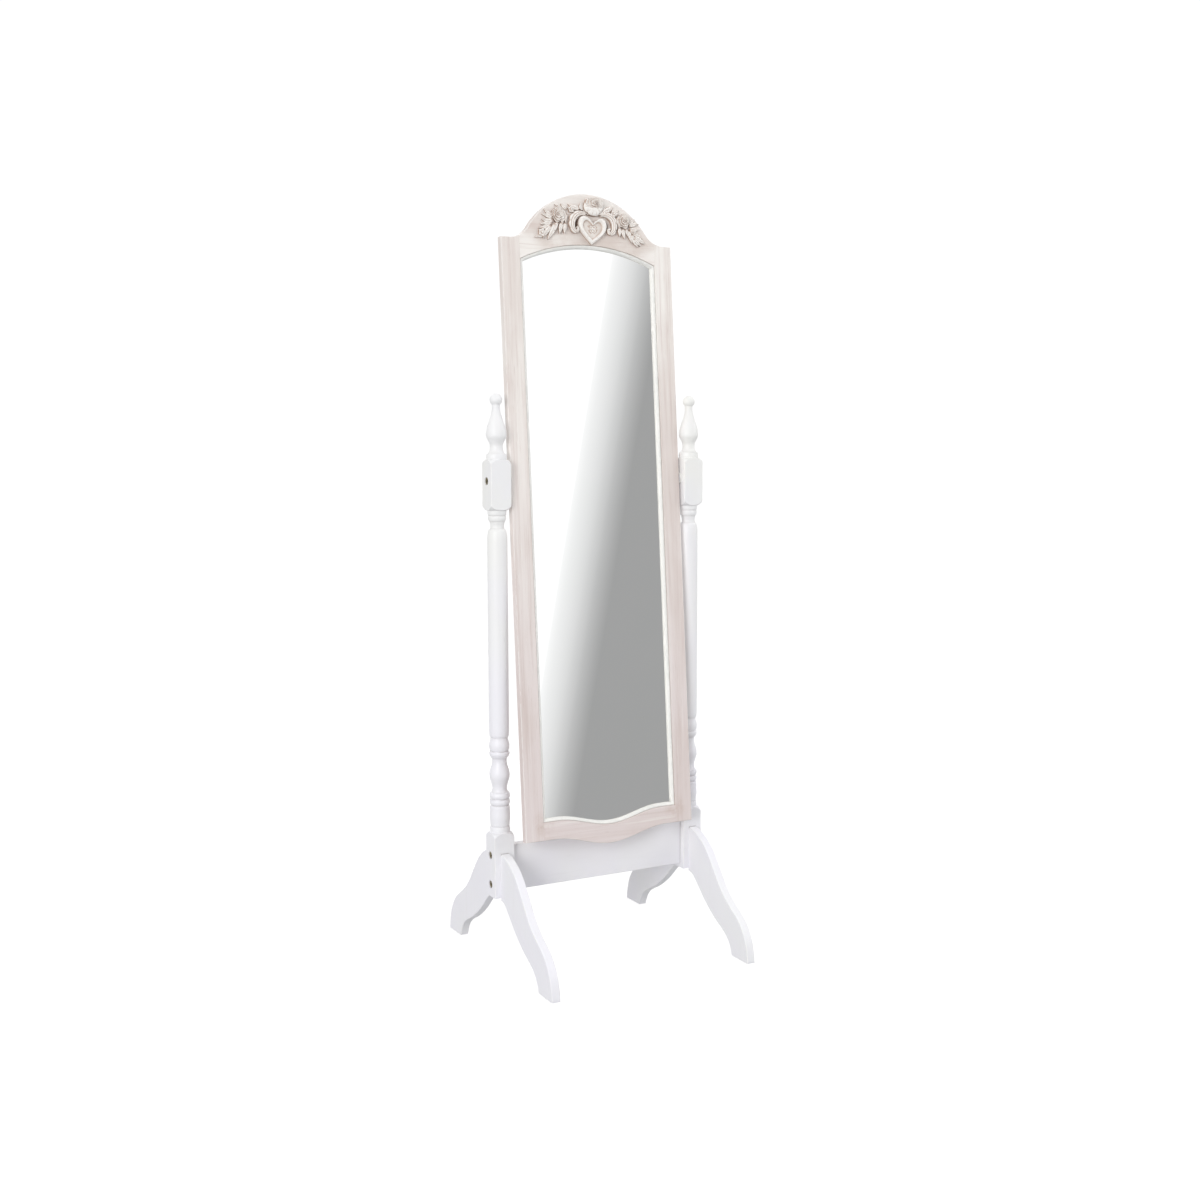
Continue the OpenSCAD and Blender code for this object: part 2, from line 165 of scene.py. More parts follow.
def white_paint(name, grain, joint_shade=None):
    """Satin white lacquer over pine. grain scales the noise so that it runs long along one axis."""
    m = Mat(name)
    g = m.coord(scale=grain[0], rot=grain[1])
    broad = m.noise(m.tc, 5.0, 3, 0.5)
    streak = m.noise(g, 1.0, 5, 0.62)
    fine = m.noise(g, 3.4, 3, 0.6)
    peel = m.noise(m.tc, 620.0, 2, 0.5)
    x, y, z = m.xyz()
    up = m.span(z, 0.35, 1.20)  # cooler near the floor, warmer at the finials
    col = m.mix(m.span(broad, 0.35, 0.68), m.mix(up, lin((241, 240, 246)), lin((241, 241, 243))), m.mix(up, lin((242, 242, 244)), lin((242, 242, 238))))
    col = m.mix(m.span(streak, 0.56, 0.78, 0, 0.35), col, lin((231, 230, 232)))
    # painted shade: the turned hollows are darkened where shade falls in them; arrises are rubbed a touch warmer
    cav = m.math("MULTIPLY", m.attr("cavity"), m.span(m.noise(m.tc, 60, 3), 0.3, 0.75, 0.45, 1.0))
    col = m.mix(m.math("MULTIPLY", cav, 0.62), col, lin((196, 192, 190)))
    rub = m.math("MULTIPLY", m.attr("wear"), m.span(m.noise(m.tc, 38, 4, 0.6), 0.42, 0.62))
    col = m.mix(m.math("MULTIPLY", rub, 0.5), col, lin((247, 246, 240)))
    if joint_shade:  # painted shadow: a dark hairline where a board butts against the post
        col = m.mix(joint_shade(m, x, y, z), col, lin((104, 98, 92)))
    rough = m.math("ADD", m.span(m.noise(m.tc, 24, 4), 0.3, 0.7, 0.33, 0.45), m.math("MULTIPLY", fine, 0.08))
    h = m.math("ADD", m.math("MULTIPLY", streak, 0.6), m.math("MULTIPLY", fine, 0.4))
    nrm = m.bump(h, 0.34, 0.0005)
    nrm = m.bump(peel, 0.10, 0.00012, nrm)
    return m.done(col, rough, nrm, IOR=1.47)


def washed_wood(name, along, tall=False):
    """White-washed pinkish beige wood with open grain, running along the mirror's x or z."""
    m = Mat(name)
    sc = (150, 150, 3.4) if along == "z" else (3.4, 150, 150)
    fs = (820, 820, 22) if along == "z" else (22, 820, 820)
    ws = (26, 26, 0.9) if along == "z" else (0.9, 26, 26)
    g = m.coord(scale=sc)
    f = m.coord(scale=fs)
    w = m.coord(scale=ws, loc=(3.1, 0.4, 1.7))
    x, y, z = m.xyz()
    broad = m.noise(m.coord(scale=(9, 9, 3.2) if along == "z" else (3.2, 9, 9)), 1.0, 4, 0.55, 0.4)
    rings = m.noise(w, 1.0, 5, 0.6, 1.6)
    streak = m.noise(g, 1.0, 5, 0.62, 0.25)
    pores = m.noise(f, 1.0, 3, 0.6)
    base = m.mix(m.span(z, -0.70, 0.40), lin((228, 217, 215)), lin((245, 241, 236)))
    base = m.mix(m.span(broad, 0.36, 0.66, 0, 0.55), base, lin((214, 200, 194)))
    base = m.mix(m.span(rings, 0.46, 0.68, 0, 0.30), base, lin((207, 190, 184)))
    base = m.mix(m.span(streak, 0.50, 0.74, 0, 0.55), base, lin((208, 192, 186)))
    base = m.mix(m.span(streak, 0.44, 0.26, 0, 0.55), base, lin((241, 236, 232)))
    pore = m.math("MULTIPLY", m.span(pores, 0.60, 0.74), m.span(rings, 0.40, 0.62, 0.35, 1.0))
    base = m.mix(m.math("MULTIPLY", pore, 0.5), base, lin((184, 164, 154)))
    # greyer, whiter wash on the crest; browner near the lower joints; painted shade round and under the carving
    top = m.math("MULTIPLY", m.span(z, 0.515, 0.568), m.span(m.noise(m.tc, 16, 4), 0.25, 0.6, 0.55, 1.0))
    base = m.mix(m.math("MULTIPLY", top, 0.45), base, lin((236, 232, 227)))
    # painted shade: the wood round the carving is darkened, most below it, where the carving's shadow falls
    du = m.math("DIVIDE", m.math("SUBTRACT", x, 0.016), 0.150)
    dv = m.math("DIVIDE", m.math("SUBTRACT", z, 0.502), 0.064)
    ring = m.math("SQRT", m.math("ADD", m.math("MULTIPLY", du, du), m.math("MULTIPLY", dv, dv)))
    carving_shade = m.math("MULTIPLY", m.span(ring, 1.12, 0.86), m.span(m.noise(m.tc, 34, 4, 0.6), 0.25, 0.65, 0.35, 1.0))
    base = m.mix(m.math("MULTIPLY", carving_shade, m.span(z, 0.540, 0.480, 0.08, 0.60)), base, lin((206, 190, 180)))
    cx, cz = m.math("SUBTRACT", m.math("ABSOLUTE", x), 0.1535), m.math("ADD", z, 0.690)
    corner = m.span(m.math("SQRT", m.math("ADD", m.math("MULTIPLY", cx, cx), m.math("MULTIPLY", cz, cz))), 0.034, 0.006)
    corner = m.math("MULTIPLY", corner, m.span(m.noise(m.tc, 55, 5, 0.65), 0.30, 0.75))
    base = m.mix(m.math("MULTIPLY", corner, 0.50), base, lin((190, 166, 150)))
    rub = m.math("MULTIPLY", m.attr("wear"), m.span(m.noise(m.coord(scale=(60, 60, 60)), 1.0, 4, 0.6), 0.34, 0.56))
    base = m.mix(m.math("MULTIPLY", rub, 0.7), base, lin((240, 237, 234)))
    rough = m.span(streak, 0.3, 0.75, 0.56, 0.74)
    nrm = m.bump(streak, 0.42, 0.0005)
    nrm = m.bump(m.math("MULTIPLY", pore, -1.0), 0.35, 0.0003, nrm)
    return m.done(base, rough, nrm, IOR=1.45)


def cream_slip(name):
    m = Mat(name)
    g = m.noise(m.coord(scale=(70, 70, 70)), 1.0, 4, 0.6)
    broad = m.noise(m.tc, 14, 3)
    col = m.mix(m.span(broad, 0.3, 0.7), lin((237, 236, 232)), lin((230, 230, 226)))
    rub = m.math("MULTIPLY", m.attr("wear"), m.span(g, 0.40, 0.62))
    col = m.mix(m.math("MULTIPLY", rub, 0.55), col, lin((248, 247, 243)))
    # painted shade: the slip's edges are darkened along its shadow lines
    cav = m.math("MULTIPLY", m.attr("cavity"), m.span(g, 0.2, 0.7, 0.55, 1.0))
    col = m.mix(m.math("MULTIPLY", cav, 0.75), col, lin((176, 168, 158)))
    rough = m.span(g, 0.3, 0.7, 0.38, 0.5)
    return m.done(col, rough, m.bump(g, 0.25, 0.0003), IOR=1.46)


def antiqued_resin(name):
    m = Mat(name)
    n1 = m.noise(m.tc, 120, 4, 0.6)
    n2 = m.noise(m.tc, 420, 3, 0.6)
    broad = m.noise(m.tc, 26, 3)
    col = m.mix(m.span(broad, 0.3, 0.7), lin((232, 226, 220)), lin((237, 232, 227)))
    cav = m.math("ADD", m.attr("cavity"), m.math("MULTIPLY", m.math("SUBTRACT", n1, 0.5), 0.30))
    col = m.mix(m.span(cav, 0.14, 0.50, 0, 0.88), col, lin((192, 168, 152)))
    col = m.mix(m.span(cav, 0.50, 0.86, 0, 0.92), col, lin((120, 92, 76)))
    col = m.mix(m.span(cav, 0.84, 0.97, 0, 0.9), col, lin((74, 54, 44)))
    high = m.math("MULTIPLY", m.span(cav, 0.20, 0.05), m.span(n1, 0.30, 0.55))
    col = m.mix(m.math("MULTIPLY", high, 0.7), col, lin((249, 247, 243)))
    rough = m.span(n2, 0.3, 0.7, 0.42, 0.58)
    nrm = m.bump(n2, 0.22, 0.0002)
    return m.done(col, rough, nrm, IOR=1.5)


def silvered_glass(name):
    m = Mat(name)
    n = m.noise(m.tc, 9, 3)
    smear = m.noise(m.coord(scale=(14, 14, 5)), 1.0, 4, 0.6)
    col = m.mix(m.span(n, 0.3, 0.7), (0.945, 0.950, 0.950), (0.935, 0.945, 0.942))
    col = m.mix(m.attr("wear"), col, (0.42, 0.55, 0.50))
    rough = m.span(smear, 0.45, 0.8, 0.008, 0.03)
    return m.done(col, rough, None, Metallic=1.0)


def hardboard(name):
    m = Mat(name)
    n1 = m.noise(m.coord(scale=(420, 420, 420)), 1.0, 5, 0.7)
    n2 = m.noise(m.tc, 8, 3)
    fib = m.noise(m.coord(scale=(900, 900, 160)), 1.0, 3, 0.6)
    col = m.mix(m.span(n1, 0.3, 0.7), lin((126, 92, 62)), lin((158, 120, 84)))
    col = m.mix(m.span(n2, 0.3, 0.7, 0, 0.35), col, lin((112, 82, 56)))
    col = m.mix(m.span(fib, 0.60, 0.78, 0, 0.6), col, lin((188, 154, 116)))
    return m.done(col, m.span(n1, 0.3, 0.7, 0.55, 0.8), m.bump(n1, 0.3, 0.0003))


def metal(name, dark, light, r0, r1, patina=None):
    m = Mat(name)
    n1 = m.noise(m.tc, 260, 4, 0.6)
    n2 = m.noise(m.tc, 900, 3, 0.6)
    col = m.mix(m.span(n1, 0.3, 0.7), dark, light)
    if patina:
        col = m.mix(m.span(n2, 0.5, 0.72, 0, 0.8), col, patina)
    return m.done(col, m.span(n1, 0.3, 0.7, r0, r1), m.bump(n2, 0.15, 0.0001), Metallic=1.0)


def nylon(name):
    m = Mat(name)
    n = m.noise(m.tc, 700, 4, 0.7)
    turned = m.noise(m.coord(scale=(2600, 160, 160)), 1.0, 3, 0.6)
    col = m.mix(m.span(n, 0.3, 0.7), lin((228, 227, 222)), lin((238, 238, 235)))
    col = m.mix(m.span(turned, 0.58, 0.75, 0, 0.4), col, lin((206, 205, 200)))
    return m.done(col, m.span(n, 0.3, 0.7, 0.42, 0.6), m.bump(turned, 0.25, 0.0001), IOR=1.53)


def beech(name, scale):
    m = Mat(name)
    g = m.noise(m.coord(scale=scale), 1.0, 4, 0.6)
    fl = m.noise(m.tc, 1500, 2)
    col = m.mix(m.span(g, 0.3, 0.7), lin((222, 184, 138)), lin((196, 152, 106)))
    col = m.mix(m.span(fl, 0.6, 0.75, 0, 0.5), col, lin((160, 116, 76)))
    return m.done(col, m.span(g, 0.3, 0.7, 0.5, 0.7), m.bump(g, 0.3, 0.0003))


PAINT_Z = white_paint("white_paint_upright", ((95, 95, 6), (0, 0, 0)))
# painted shadow: the stretcher's ends are darkened in a hairline where they butt against the posts
PAINT_X = white_paint("white_paint_across", ((6, 95, 95), (0, 0, 0)),
                      lambda m, x, y, z: m.span(m.math("ABSOLUTE", x), (INNER_X - 1.9) * MM, (INNER_X - 0.4) * MM, 0, 0.62))
# the legs' grain runs down their length, forwards or backwards
# painted shadow: the top of each leg is darkened in a hairline where it butts against the post's block
leg_joint_shade = lambda m, x, y, z: m.math("MULTIPLY", m.span(m.math("ABSOLUTE", y), (HALF + 3.3) * MM, (HALF + 2.1) * MM, 0, 0.95), m.span(z, 0.2285, 0.2302))
PAINT_F = white_paint("white_paint_front_leg", ((95, 95, 6), (math.radians(-38), 0, 0)), leg_joint_shade)
PAINT_R = white_paint("white_paint_rear_leg", ((95, 95, 6), (math.radians(38), 0, 0)), leg_joint_shade)
WASH_V = washed_wood("washed_wood_upright", "z")
WASH_U = washed_wood("washed_wood_across", "x")
SLIP = cream_slip("cream_slip_paint")
RESIN = antiqued_resin("antiqued_resin_cast")
GLASS = silvered_glass("silvered_glass_sheet")
HARD = hardboard("hardboard_brown")
BRASS = metal("antique_brass_dark", (0.085, 0.068, 0.034), (0.22, 0.175, 0.085), 0.22, 0.42, (0.035, 0.028, 0.018))
BRIGHT = metal("insert_brass_bright", (0.62, 0.46, 0.20), (0.78, 0.60, 0.30), 0.25, 0.4)
ZINC = metal("zinc_steel_plated", (0.52, 0.52, 0.53), (0.68, 0.68, 0.70), 0.28, 0.45, (0.40, 0.40, 0.42))
NYLON = nylon("spacer_nylon_white")
BEECH_Y = beech("beech_leg_dowels", (300, 30, 300))
BEECH_X = beech("beech_frame_dowels", (30, 300, 300))


# ------------------------------------------------------------------ mesh kit
def collect(verts, faces):
    bm = bmesh.new()
    vs = [bm.verts.new(Vector(v) * MM) for v in verts]
    for f in faces:
        if len(set(f)) > 2:
            try:
                bm.faces.new([vs[i] for i in f])
            except ValueError:
                pass
    return bm


def to_object(bm, name, mat, matrix=None, weld=0.0):
    if weld:
        bmesh.ops.remove_doubles(bm, verts=bm.verts, dist=weld * MM)
    bmesh.ops.recalc_face_normals(bm, faces=bm.faces)
    me = bpy.data.meshes.new(name)
    bm.to_mesh(me)
    bm.free()
    o = bpy.data.objects.new(name, me)
    scene.collection.objects.link(o)
    if mat:
        me.materials.append(mat)
    if matrix is not None:
        o.matrix_world = matrix
    return o


def applied(o):
    dg = bpy.context.evaluated_depsgraph_get()
    me = bpy.data.meshes.new_from_object(o.evaluated_get(dg), preserve_all_data_layers=True, depsgraph=dg)
    o.modifiers.clear()
    old = o.data
    o.data = me
    me.name = o.name
    bpy.data.meshes.remove(old)
    return o


def boolean(o, cutter, op):
    m = o.modifiers.new("b", "BOOLEAN")
    m.operation, m.object, m.solver = op, cutter, "EXACT"
    applied(o)
    bpy.data.objects.remove(cutter)
    return o


def soften(o, angle=34.0, weighted=True):
    bm = bmesh.new()
    bm.from_mesh(o.data)
    lim = math.radians(angle)
    for f in bm.faces:
        f.smooth = True
    for e in bm.edges:
        e.smooth = len(e.link_faces) == 2 and e.calc_face_angle(0.0) < lim
    bm.to_mesh(o.data)
    bm.free()
    if weighted:
        w = o.modifiers.new("w", "WEIGHTED_NORMAL")
        w.keep_sharp, w.weight = True, 60
        applied(o)
    return o


def give(o, name, values):
    a = o.data.attributes.get(name) or o.data.attributes.new(name, "FLOAT", "POINT")
    a.data.foreach_set("value", np.asarray(values, np.float32))


def coords(o):
    co = np.zeros(len(o.data.vertices) * 3)
    o.data.vertices.foreach_get("co", co)
    return co.reshape(-1, 3) / MM


def place(o, body, slot, *replaced):
    for need in ("cavity", "wear"):
        if need not in o.data.attributes:
            give(o, need, np.zeros(len(o.data.vertices)))
    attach(o, body)
    if replaced:
        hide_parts(*replaced)
    return o


def clean(pts, eps=0.02):
    out = []
    for p in pts:
        if not out or math.hypot(p[0] - out[-1][0], p[1] - out[-1][1]) > eps:
            out.append((float(p[0]), float(p[1])))
    if math.hypot(out[0][0] - out[-1][0], out[0][1] - out[-1][1]) <= eps:
        out.pop()
    return out


def area(p):
    return sum(a[0] * b[1] - b[0] * a[1] for a, b in zip(p, p[1:] + p[:1])) / 2


def inset(pts, d):
    """Each outline point moved inwards; d is the distance for each edge, edge i running from point i to i + 1."""
    n, out = len(pts), []
    for i in range(n):
        a, b, c = pts[i - 1], pts[i], pts[(i + 1) % n]
        e1 = (b[0] - a[0], b[1] - a[1])
        e2 = (c[0] - b[0], c[1] - b[1])
        l1, l2 = math.hypot(*e1), math.hypot(*e2)
        n1, n2 = (-e1[1] / l1, e1[0] / l1), (-e2[1] / l2, e2[0] / l2)
        d1, d2 = d[i - 1], d[i]
        cross = n1[0] * n2[1] - n1[1] * n2[0]
        if abs(cross) < 0.12:
            m = (n1[0] + n2[0], n1[1] + n2[1])
            k = (d1 + d2) / 2 / (math.hypot(*m) or 1) * 1.0
            out.append((b[0] + m[0] * k, b[1] + m[1] * k))
        else:
            out.append((b[0] + (d1 * n2[1] - d2 * n1[1]) / cross, b[1] + (n1[0] * d2 - n2[0] * d1) / cross))
    return out


def board(name, outline, h0, h1, to3, mat, r=1.5, edge_r=None, matrix=None, steps=4, back_r=None):
    """A board cut to an outline, its long edges rounded. edge_r(mid point, direction) may give an edge its own radius."""
    p = clean(outline)
    if area(p) < 0:
        p = p[::-1]
    n = len(p)
    rad = []
    for i in range(n):
        q = p[(i + 1) % n]
        mid = ((p[i][0] + q[0]) / 2, (p[i][1] + q[1]) / 2)
        l = math.hypot(q[0] - p[i][0], q[1] - p[i][1])
        e = edge_r(mid, ((q[0] - p[i][0]) / l, (q[1] - p[i][1]) / l)) if edge_r else None
        rad.append(r if e is None else e)
    vr = [max(rad[i - 1], rad[i]) for i in range(n)]
    br = 1.0 if back_r is None else back_r
    levels, wear = [], []
    for j in range(steps + 1):  # back edge, from the flat face out to the side
        a = math.pi / 2 * j / steps
        off = inset(p, [x * br * (1 - math.sin(a)) for x in rad])
        levels.append([(*q, h0 + vr[i] * br * (1 - math.cos(a))) for i, q in enumerate(off)])
        wear += [math.sin(2 * a) * max(0, min(1, (x - 1) / 0.6)) * br for x in vr]
    for j in range(steps + 1):
        a = math.pi / 2 * j / steps
        off = inset(p, [x * (1 - math.cos(a)) for x in rad])
        levels.append([(*q, h1 - vr[i] * (1 - math.sin(a))) for i, q in enumerate(off)])
        wear += [math.sin(2 * a) * max(0, min(1, (x - 1) / 0.6)) for x in vr]
    verts = [to3(*q) for l in levels for q in l]
    faces = []
    for a in range(len(levels) - 1):
        for i in range(n):
            j = (i + 1) % n
            faces.append((a * n + i, a * n + j, (a + 1) * n + j, (a + 1) * n + i))
    faces.append(tuple(reversed(range(n))))
    faces.append(tuple((len(levels) - 1) * n + i for i in range(n)))
    o = to_object(collect(verts, faces), name, mat, matrix)
    give(o, "wear", wear)  # the arris, where the finish is rubbed
    return o


def near_corners(p, q, d=2.3):
    """Points close to both ends of the straight edge p-q, so that the neighbours' rounding stays at the corner."""
    l = math.hypot(q[0] - p[0], q[1] - p[1])
    f = lambda t: (p[0] + (q[0] - p[0]) * t, p[1] + (q[1] - p[1]) * t)
    return [p, f(d / l), f(1 - d / l), q]


# ------------------------------------------------------------------ stand
def ease(k, t):
    return (t, (1 - math.cos(math.pi * t)) / 2, math.sqrt(max(0, 1 - (1 - t) ** 2)), 1 - math.sqrt(max(0, 1 - t * t)),
            1 - math.cos(math.pi / 2 * t), math.sin(math.pi / 2 * t))[k]


def turning(s):
    out = [(s[0][1], s[0][0])]
    for a, b in zip(s, s[1:]):
        n = 1 if b[2] == 0 else max(7, int((b[0] - a[0]) / 1.5))
        for j in range(1, n + 1):
            t = j / n
            if b[2] == 2:
                t = 1 - math.cos(math.pi / 2 * j / n)  # closer where the curve turns fast
            elif b[2] == 3:
                t = math.sin(math.pi / 2 * j / n)
            out.append((a[1] + (b[1] - a[1]) * ease(b[2], t), a[0] + (b[0] - a[0]) * t))
    return out


LOW = [(262, 19, 0), (272.5, 19, 0), (278, 20.4, 2), (285, 18.4, 3), (286, 18.4, 0), (290, 19.6, 2), (304, 20.6, 1),
       (322, 20, 1), (327.5, 18, 3), (329.5, 18, 0), (335, 20.5, 2), (340.5, 18, 3), (342, 18, 0), (348, 20.6, 2),
       (353.5, 19.4, 1), (362.5, 14.7, 2), (390, 20.4, 1), (418.5, 14.5, 1), (422, 14.8, 1), (430, 19.2, 1),
       (434, 20.3, 2), (438, 18, 3), (439.5, 18, 0), (450, 20.4, 2), (466, 17.2, 1), (467, 17.2, 0), (474, 19.7, 2), (480, 20, 1)]
HIGH = [(862, 20, 0), (884, 15, 3), (890, 13.5, 2), (899, 15, 1), (905.5, 18, 2), (909.5, 17, 3), (911, 17, 0),
        (916, 18.8, 2), (919, 18.8, 0), (935, 18.8, 0)]
FINIAL = [(1008, 19.2, 0), (1020.5, 19.2, 0), (1026, 20.4, 2), (1031, 19.8, 1), (1044, 13, 2), (1047, 13, 0),
          (1068, 20.3, 1), (1098, 13.5, 4), (1122, 8.2, 5), (1126.5, 8.2, 0)]


def lathe(profile, segs, name, phase=0.0):
    """Solid of revolution about z from (radius, height) points, closed at both ends."""
    verts, faces = [], []
    n = len(profile)
    for r, z in profile:
        for i in range(segs):
            a = 2 * math.pi * (i + phase) / segs
            verts.append((r * math.cos(a), r * math.sin(a), z))
    for k in range(n - 1):
        for i in range(segs):
            j = (i + 1) % segs
            faces.append((k * segs + i, k * segs + j, (k + 1) * segs + j, (k + 1) * segs + i))
    faces.append(tuple(reversed(range(segs))))
    faces.append(tuple((n - 1) * segs + i for i in range(segs)))
    return to_object(collect(verts, faces), name, None)


def rod(r, x0, x1, z, name, segs=48):
    """A plain round cutter along x."""
    o = lathe([(r, x0), (r, x1)], segs, name)
    o.data.transform(Matrix.Translation((0, 0, z * MM)) @ Matrix.Rotation(math.pi / 2, 4, "Y"))
    return o


def stock(z0, z1, name):
    """Square stock with rounded arrises, its ends on a level plane."""
    pts = []
    for qx, qy in ((1, 1), (-1, 1), (-1, -1), (1, -1)):
        arc = [(HALF - 1.5 + 1.5 * math.cos(a), HALF - 1.5 + 1.5 * math.sin(a)) for a in (math.pi / 2 * k / 4 for k in range(5))]
        if qx * qy < 0:
            arc = arc[::-1]
        pts += [(qx * x, qy * y) for x, y in arc]
    n = len(pts)
    verts = [(x, y, z) for z in (z0, z1) for x, y in pts]
    faces = [(i, (i + 1) % n, n + (i + 1) % n, n + i) for i in range(n)] + [tuple(reversed(range(n))), tuple(range(n, 2 * n))]
    return to_object(collect(verts, faces), name, None)


def block(z0, z1, foot, name):
    up = [(31.5, z1 - 1.5), (29.5, z1 + 1.5), (27.4, z1 + 4.2), (25, z1 + 6.5), (23.4, z1 + 7.7), (22, z1 + 8.5), (19.8, z1 + 9.5)]
    low = [(40, z0)] if foot else [(19.8, z0 - 9.5), (22, z0 - 8.5), (23.4, z0 - 7.7), (25, z0 - 6.5), (27.4, z0 - 4.2), (29.5, z0 - 1.5), (31.5, z0 + 1.5)]
    if foot:
        up = [(40, z1 - 20)] + up
    return boolean(stock(z0 - 12 if not foot else z0, z1 + 12, name), lathe(low + up, 128, "turned"), "INTERSECT")


def post_mesh():
    ball = [(12.5 * math.cos(a), 1137 + 12.5 * math.sin(a)) for a in (math.radians(-49 + 133 * k / 22) for k in range(23))]
    turned = turning(LOW) + turning(HIGH)
    o = lathe(turned, 72, "post", 0.5)
    o = boolean(o, block(141, 264, True, "low_block"), "UNION")
    f = lathe(turning(FINIAL) + ball, 72, "finial", 0.5)
    o = boolean(o, block(930, 1011.5, False, "high_block"), "UNION")
    o = boolean(o, f, "UNION")
    for z, r in ((PIVOT_Z, 3.05), (BOLT_Z[0], 3.5), (BOLT_Z[1], 3.5)):
        cut = boolean(rod(8, HALF - 5, HALF + 6, z, "bore", 56), rod(r, -HALF - 6, HALF, z, "bore2", 32), "UNION")
        o = boolean(o, cut, "DIFFERENCE")
    bm = bmesh.new()
    bm.from_mesh(o.data)
    bmesh.ops.dissolve_degenerate(bm, dist=1e-6, edges=bm.edges)
    bm.to_mesh(o.data)
    bm.free()
    return o


def post_cavity(o):
    co = coords(o)
    prof = turning(LOW) + turning(HIGH) + turning(FINIAL)
    z = np.array([p[1] for p in prof])
    r = np.array([p[0] for p in prof])
    order = np.argsort(z, kind="stable")
    z, r = z[order], r[order]
    zz = np.arange(262, 1127, 0.5)
    rr = np.interp(zz, z, r)
    k = np.ones(13) / 13
    wide = np.convolve(np.pad(rr, 6, mode="edge"), k, "valid")
    # painted shade: how deep each ring sits below its neighbours, which darkens the paint in the turned hollows
    hollow = np.clip((wide - rr) / 1.1, 0, 1)
    c = np.interp(co[:, 2], zz, hollow, left=0, right=0)
    rad = np.hypot(co[:, 0], co[:, 1])
    c[(rad > 21.2) & (np.maximum(np.abs(co[:, 0]), np.abs(co[:, 1])) > 21.0)] = 0
    give(o, "cavity", c)
    edge = np.minimum(np.abs(co[:, 0]), np.abs(co[:, 1]))
    give(o, "wear", np.clip((edge - 20.2) / 1.2, 0, 1) * (rad > 28))


base_post = post_mesh()
for side, name, node in ((-1, "post_left", "left_post"), (1, "post_right", "right_post")):
    o = base_post.copy()
    o.data = base_post.data.copy()
    o.name = name
    scene.collection.objects.link(o)
    if side < 0:  # the counterbores face outwards
        o.data.transform(Matrix.Rotation(math.pi, 4, "Z"))
    post_cavity(o)
    o.data.transform(Matrix.Translation((side * POST_X * MM, 0, 0)))
    o.data.materials.clear()
    o.data.materials.append(PAINT_Z)
    soften(o, 31)
    place(o, "stand", "white_paint", node)
bpy.data.objects.remove(base_post)


def spline(p, n):
    out = []
    for i in range(len(p) - 1):
        a, b, c, d = (p[max(0, min(len(p) - 1, j))] for j in (i - 1, i, i + 1, i + 2))
        for j in range(n):
            t = j / n
            out.append(tuple(0.5 * (2 * b[k] + (c[k] - a[k]) * t + (2 * a[k] - 5 * b[k] + 4 * c[k] - d[k]) * t * t
                                    + (3 * b[k] - a[k] - 3 * c[k] + d[k]) * t ** 3) for k in range(len(p[0]))))
    return out + [tuple(p[-1])]


LEG_TOP = [(0, 230.4)] + spline([(1.5, 232.2), (16, 229), (30, 223.5), (48, 214), (63, 203), (77, 189.5), (90, 174), (102, 159), (115, 142),
                  (130, 125.5), (148, 110), (168, 97), (186, 85.5), (201, 72.5), (213, 57), (221.5, 40), (226.5, 22), (229, 6), (229, 0)], 4)
LEG_LOW = spline([(170, 0), (165, 13), (157, 26), (145, 37.5), (130, 46.5), (112, 55.5), (95, 65.5), (77, 78), (61, 90.5),
                  (45, 105), (30, 119), (16, 130.5), (5, 134.5), (0, 135)], 4)
for side in (-1, 1):
    for front in (-1, 1):
        name = f"leg_{'left' if side < 0 else 'right'}_{'front' if front < 0 else 'rear'}"
        node = f"{'left' if side < 0 else 'right'}_{'front' if front < 0 else 'rear'}_leg"
        o = board(name, LEG_TOP + LEG_LOW, -9, 9,
                  lambda a, b, h, s=side, f=front: (s * POST_X + h, f * (HALF + a), b),
                  PAINT_F if front < 0 else PAINT_R, r=1.8,
                  edge_r=lambda mid, d: 0.6 if mid[0] < 0.5 else (0.6 if mid[1] < 0.5 else None))
        soften(o, 40)
        place(o, "stand", "white_paint", node)

o = board("stretcher_board", [(-INNER_X, 150), (-INNER_X + 0.01, 245), (INNER_X, 245), (INNER_X, 150)], -9, 9,
          lambda a, b, h: (a, -h, b), PAINT_X, r=1.6, edge_r=lambda mid, d: 0.3 if abs(mid[0]) > 198 else None)
for s in (-1, 1):
    for z in BOLT_Z:
        c = lathe([(5.0, -6), (5.0, 12)], 40, "nut_hole")
        c.data.transform(Matrix.Translation((s * (INNER_X - 30) * MM, 0, z * MM)) @ Matrix.Rotation(-math.pi / 2, 4, "X"))
        boolean(o, c, "DIFFERENCE")
soften(o, 40)
place(o, "stand", "white_paint", "stretcher")


def ring_profile(r_in, r_out, h, ch):
    return [(r_in, 0), (r_out - ch, 0), (r_out, ch), (r_out, h - ch), (r_out - ch, h), (r_in, h)]


def ring(profile, segs, name):
    """A ring or washer: the profile is a closed loop of (radius, height)."""
    verts, faces, n = [], [], len(profile)
    for i in range(segs):
        a = 2 * math.pi * i / segs
        verts += [(r * math.cos(a), r * math.sin(a), z) for r, z in profile]
    for i in range(segs):
        for k in range(n):
            a, b = i * n + k, i * n + (k + 1) % n
            c, d = (i + 1) % segs * n + (k + 1) % n, (i + 1) % segs * n + k
            faces.append((a, b, c, d))
    return to_object(collect(verts, faces), name, None)


def join(objs, name):
    bm = bmesh.new()
    for o in objs:
        me = o.data
        me.transform(o.matrix_world)
        bm.from_mesh(me)
    for o in objs:
        bpy.data.objects.remove(o)
    return to_object(bm, name, None)


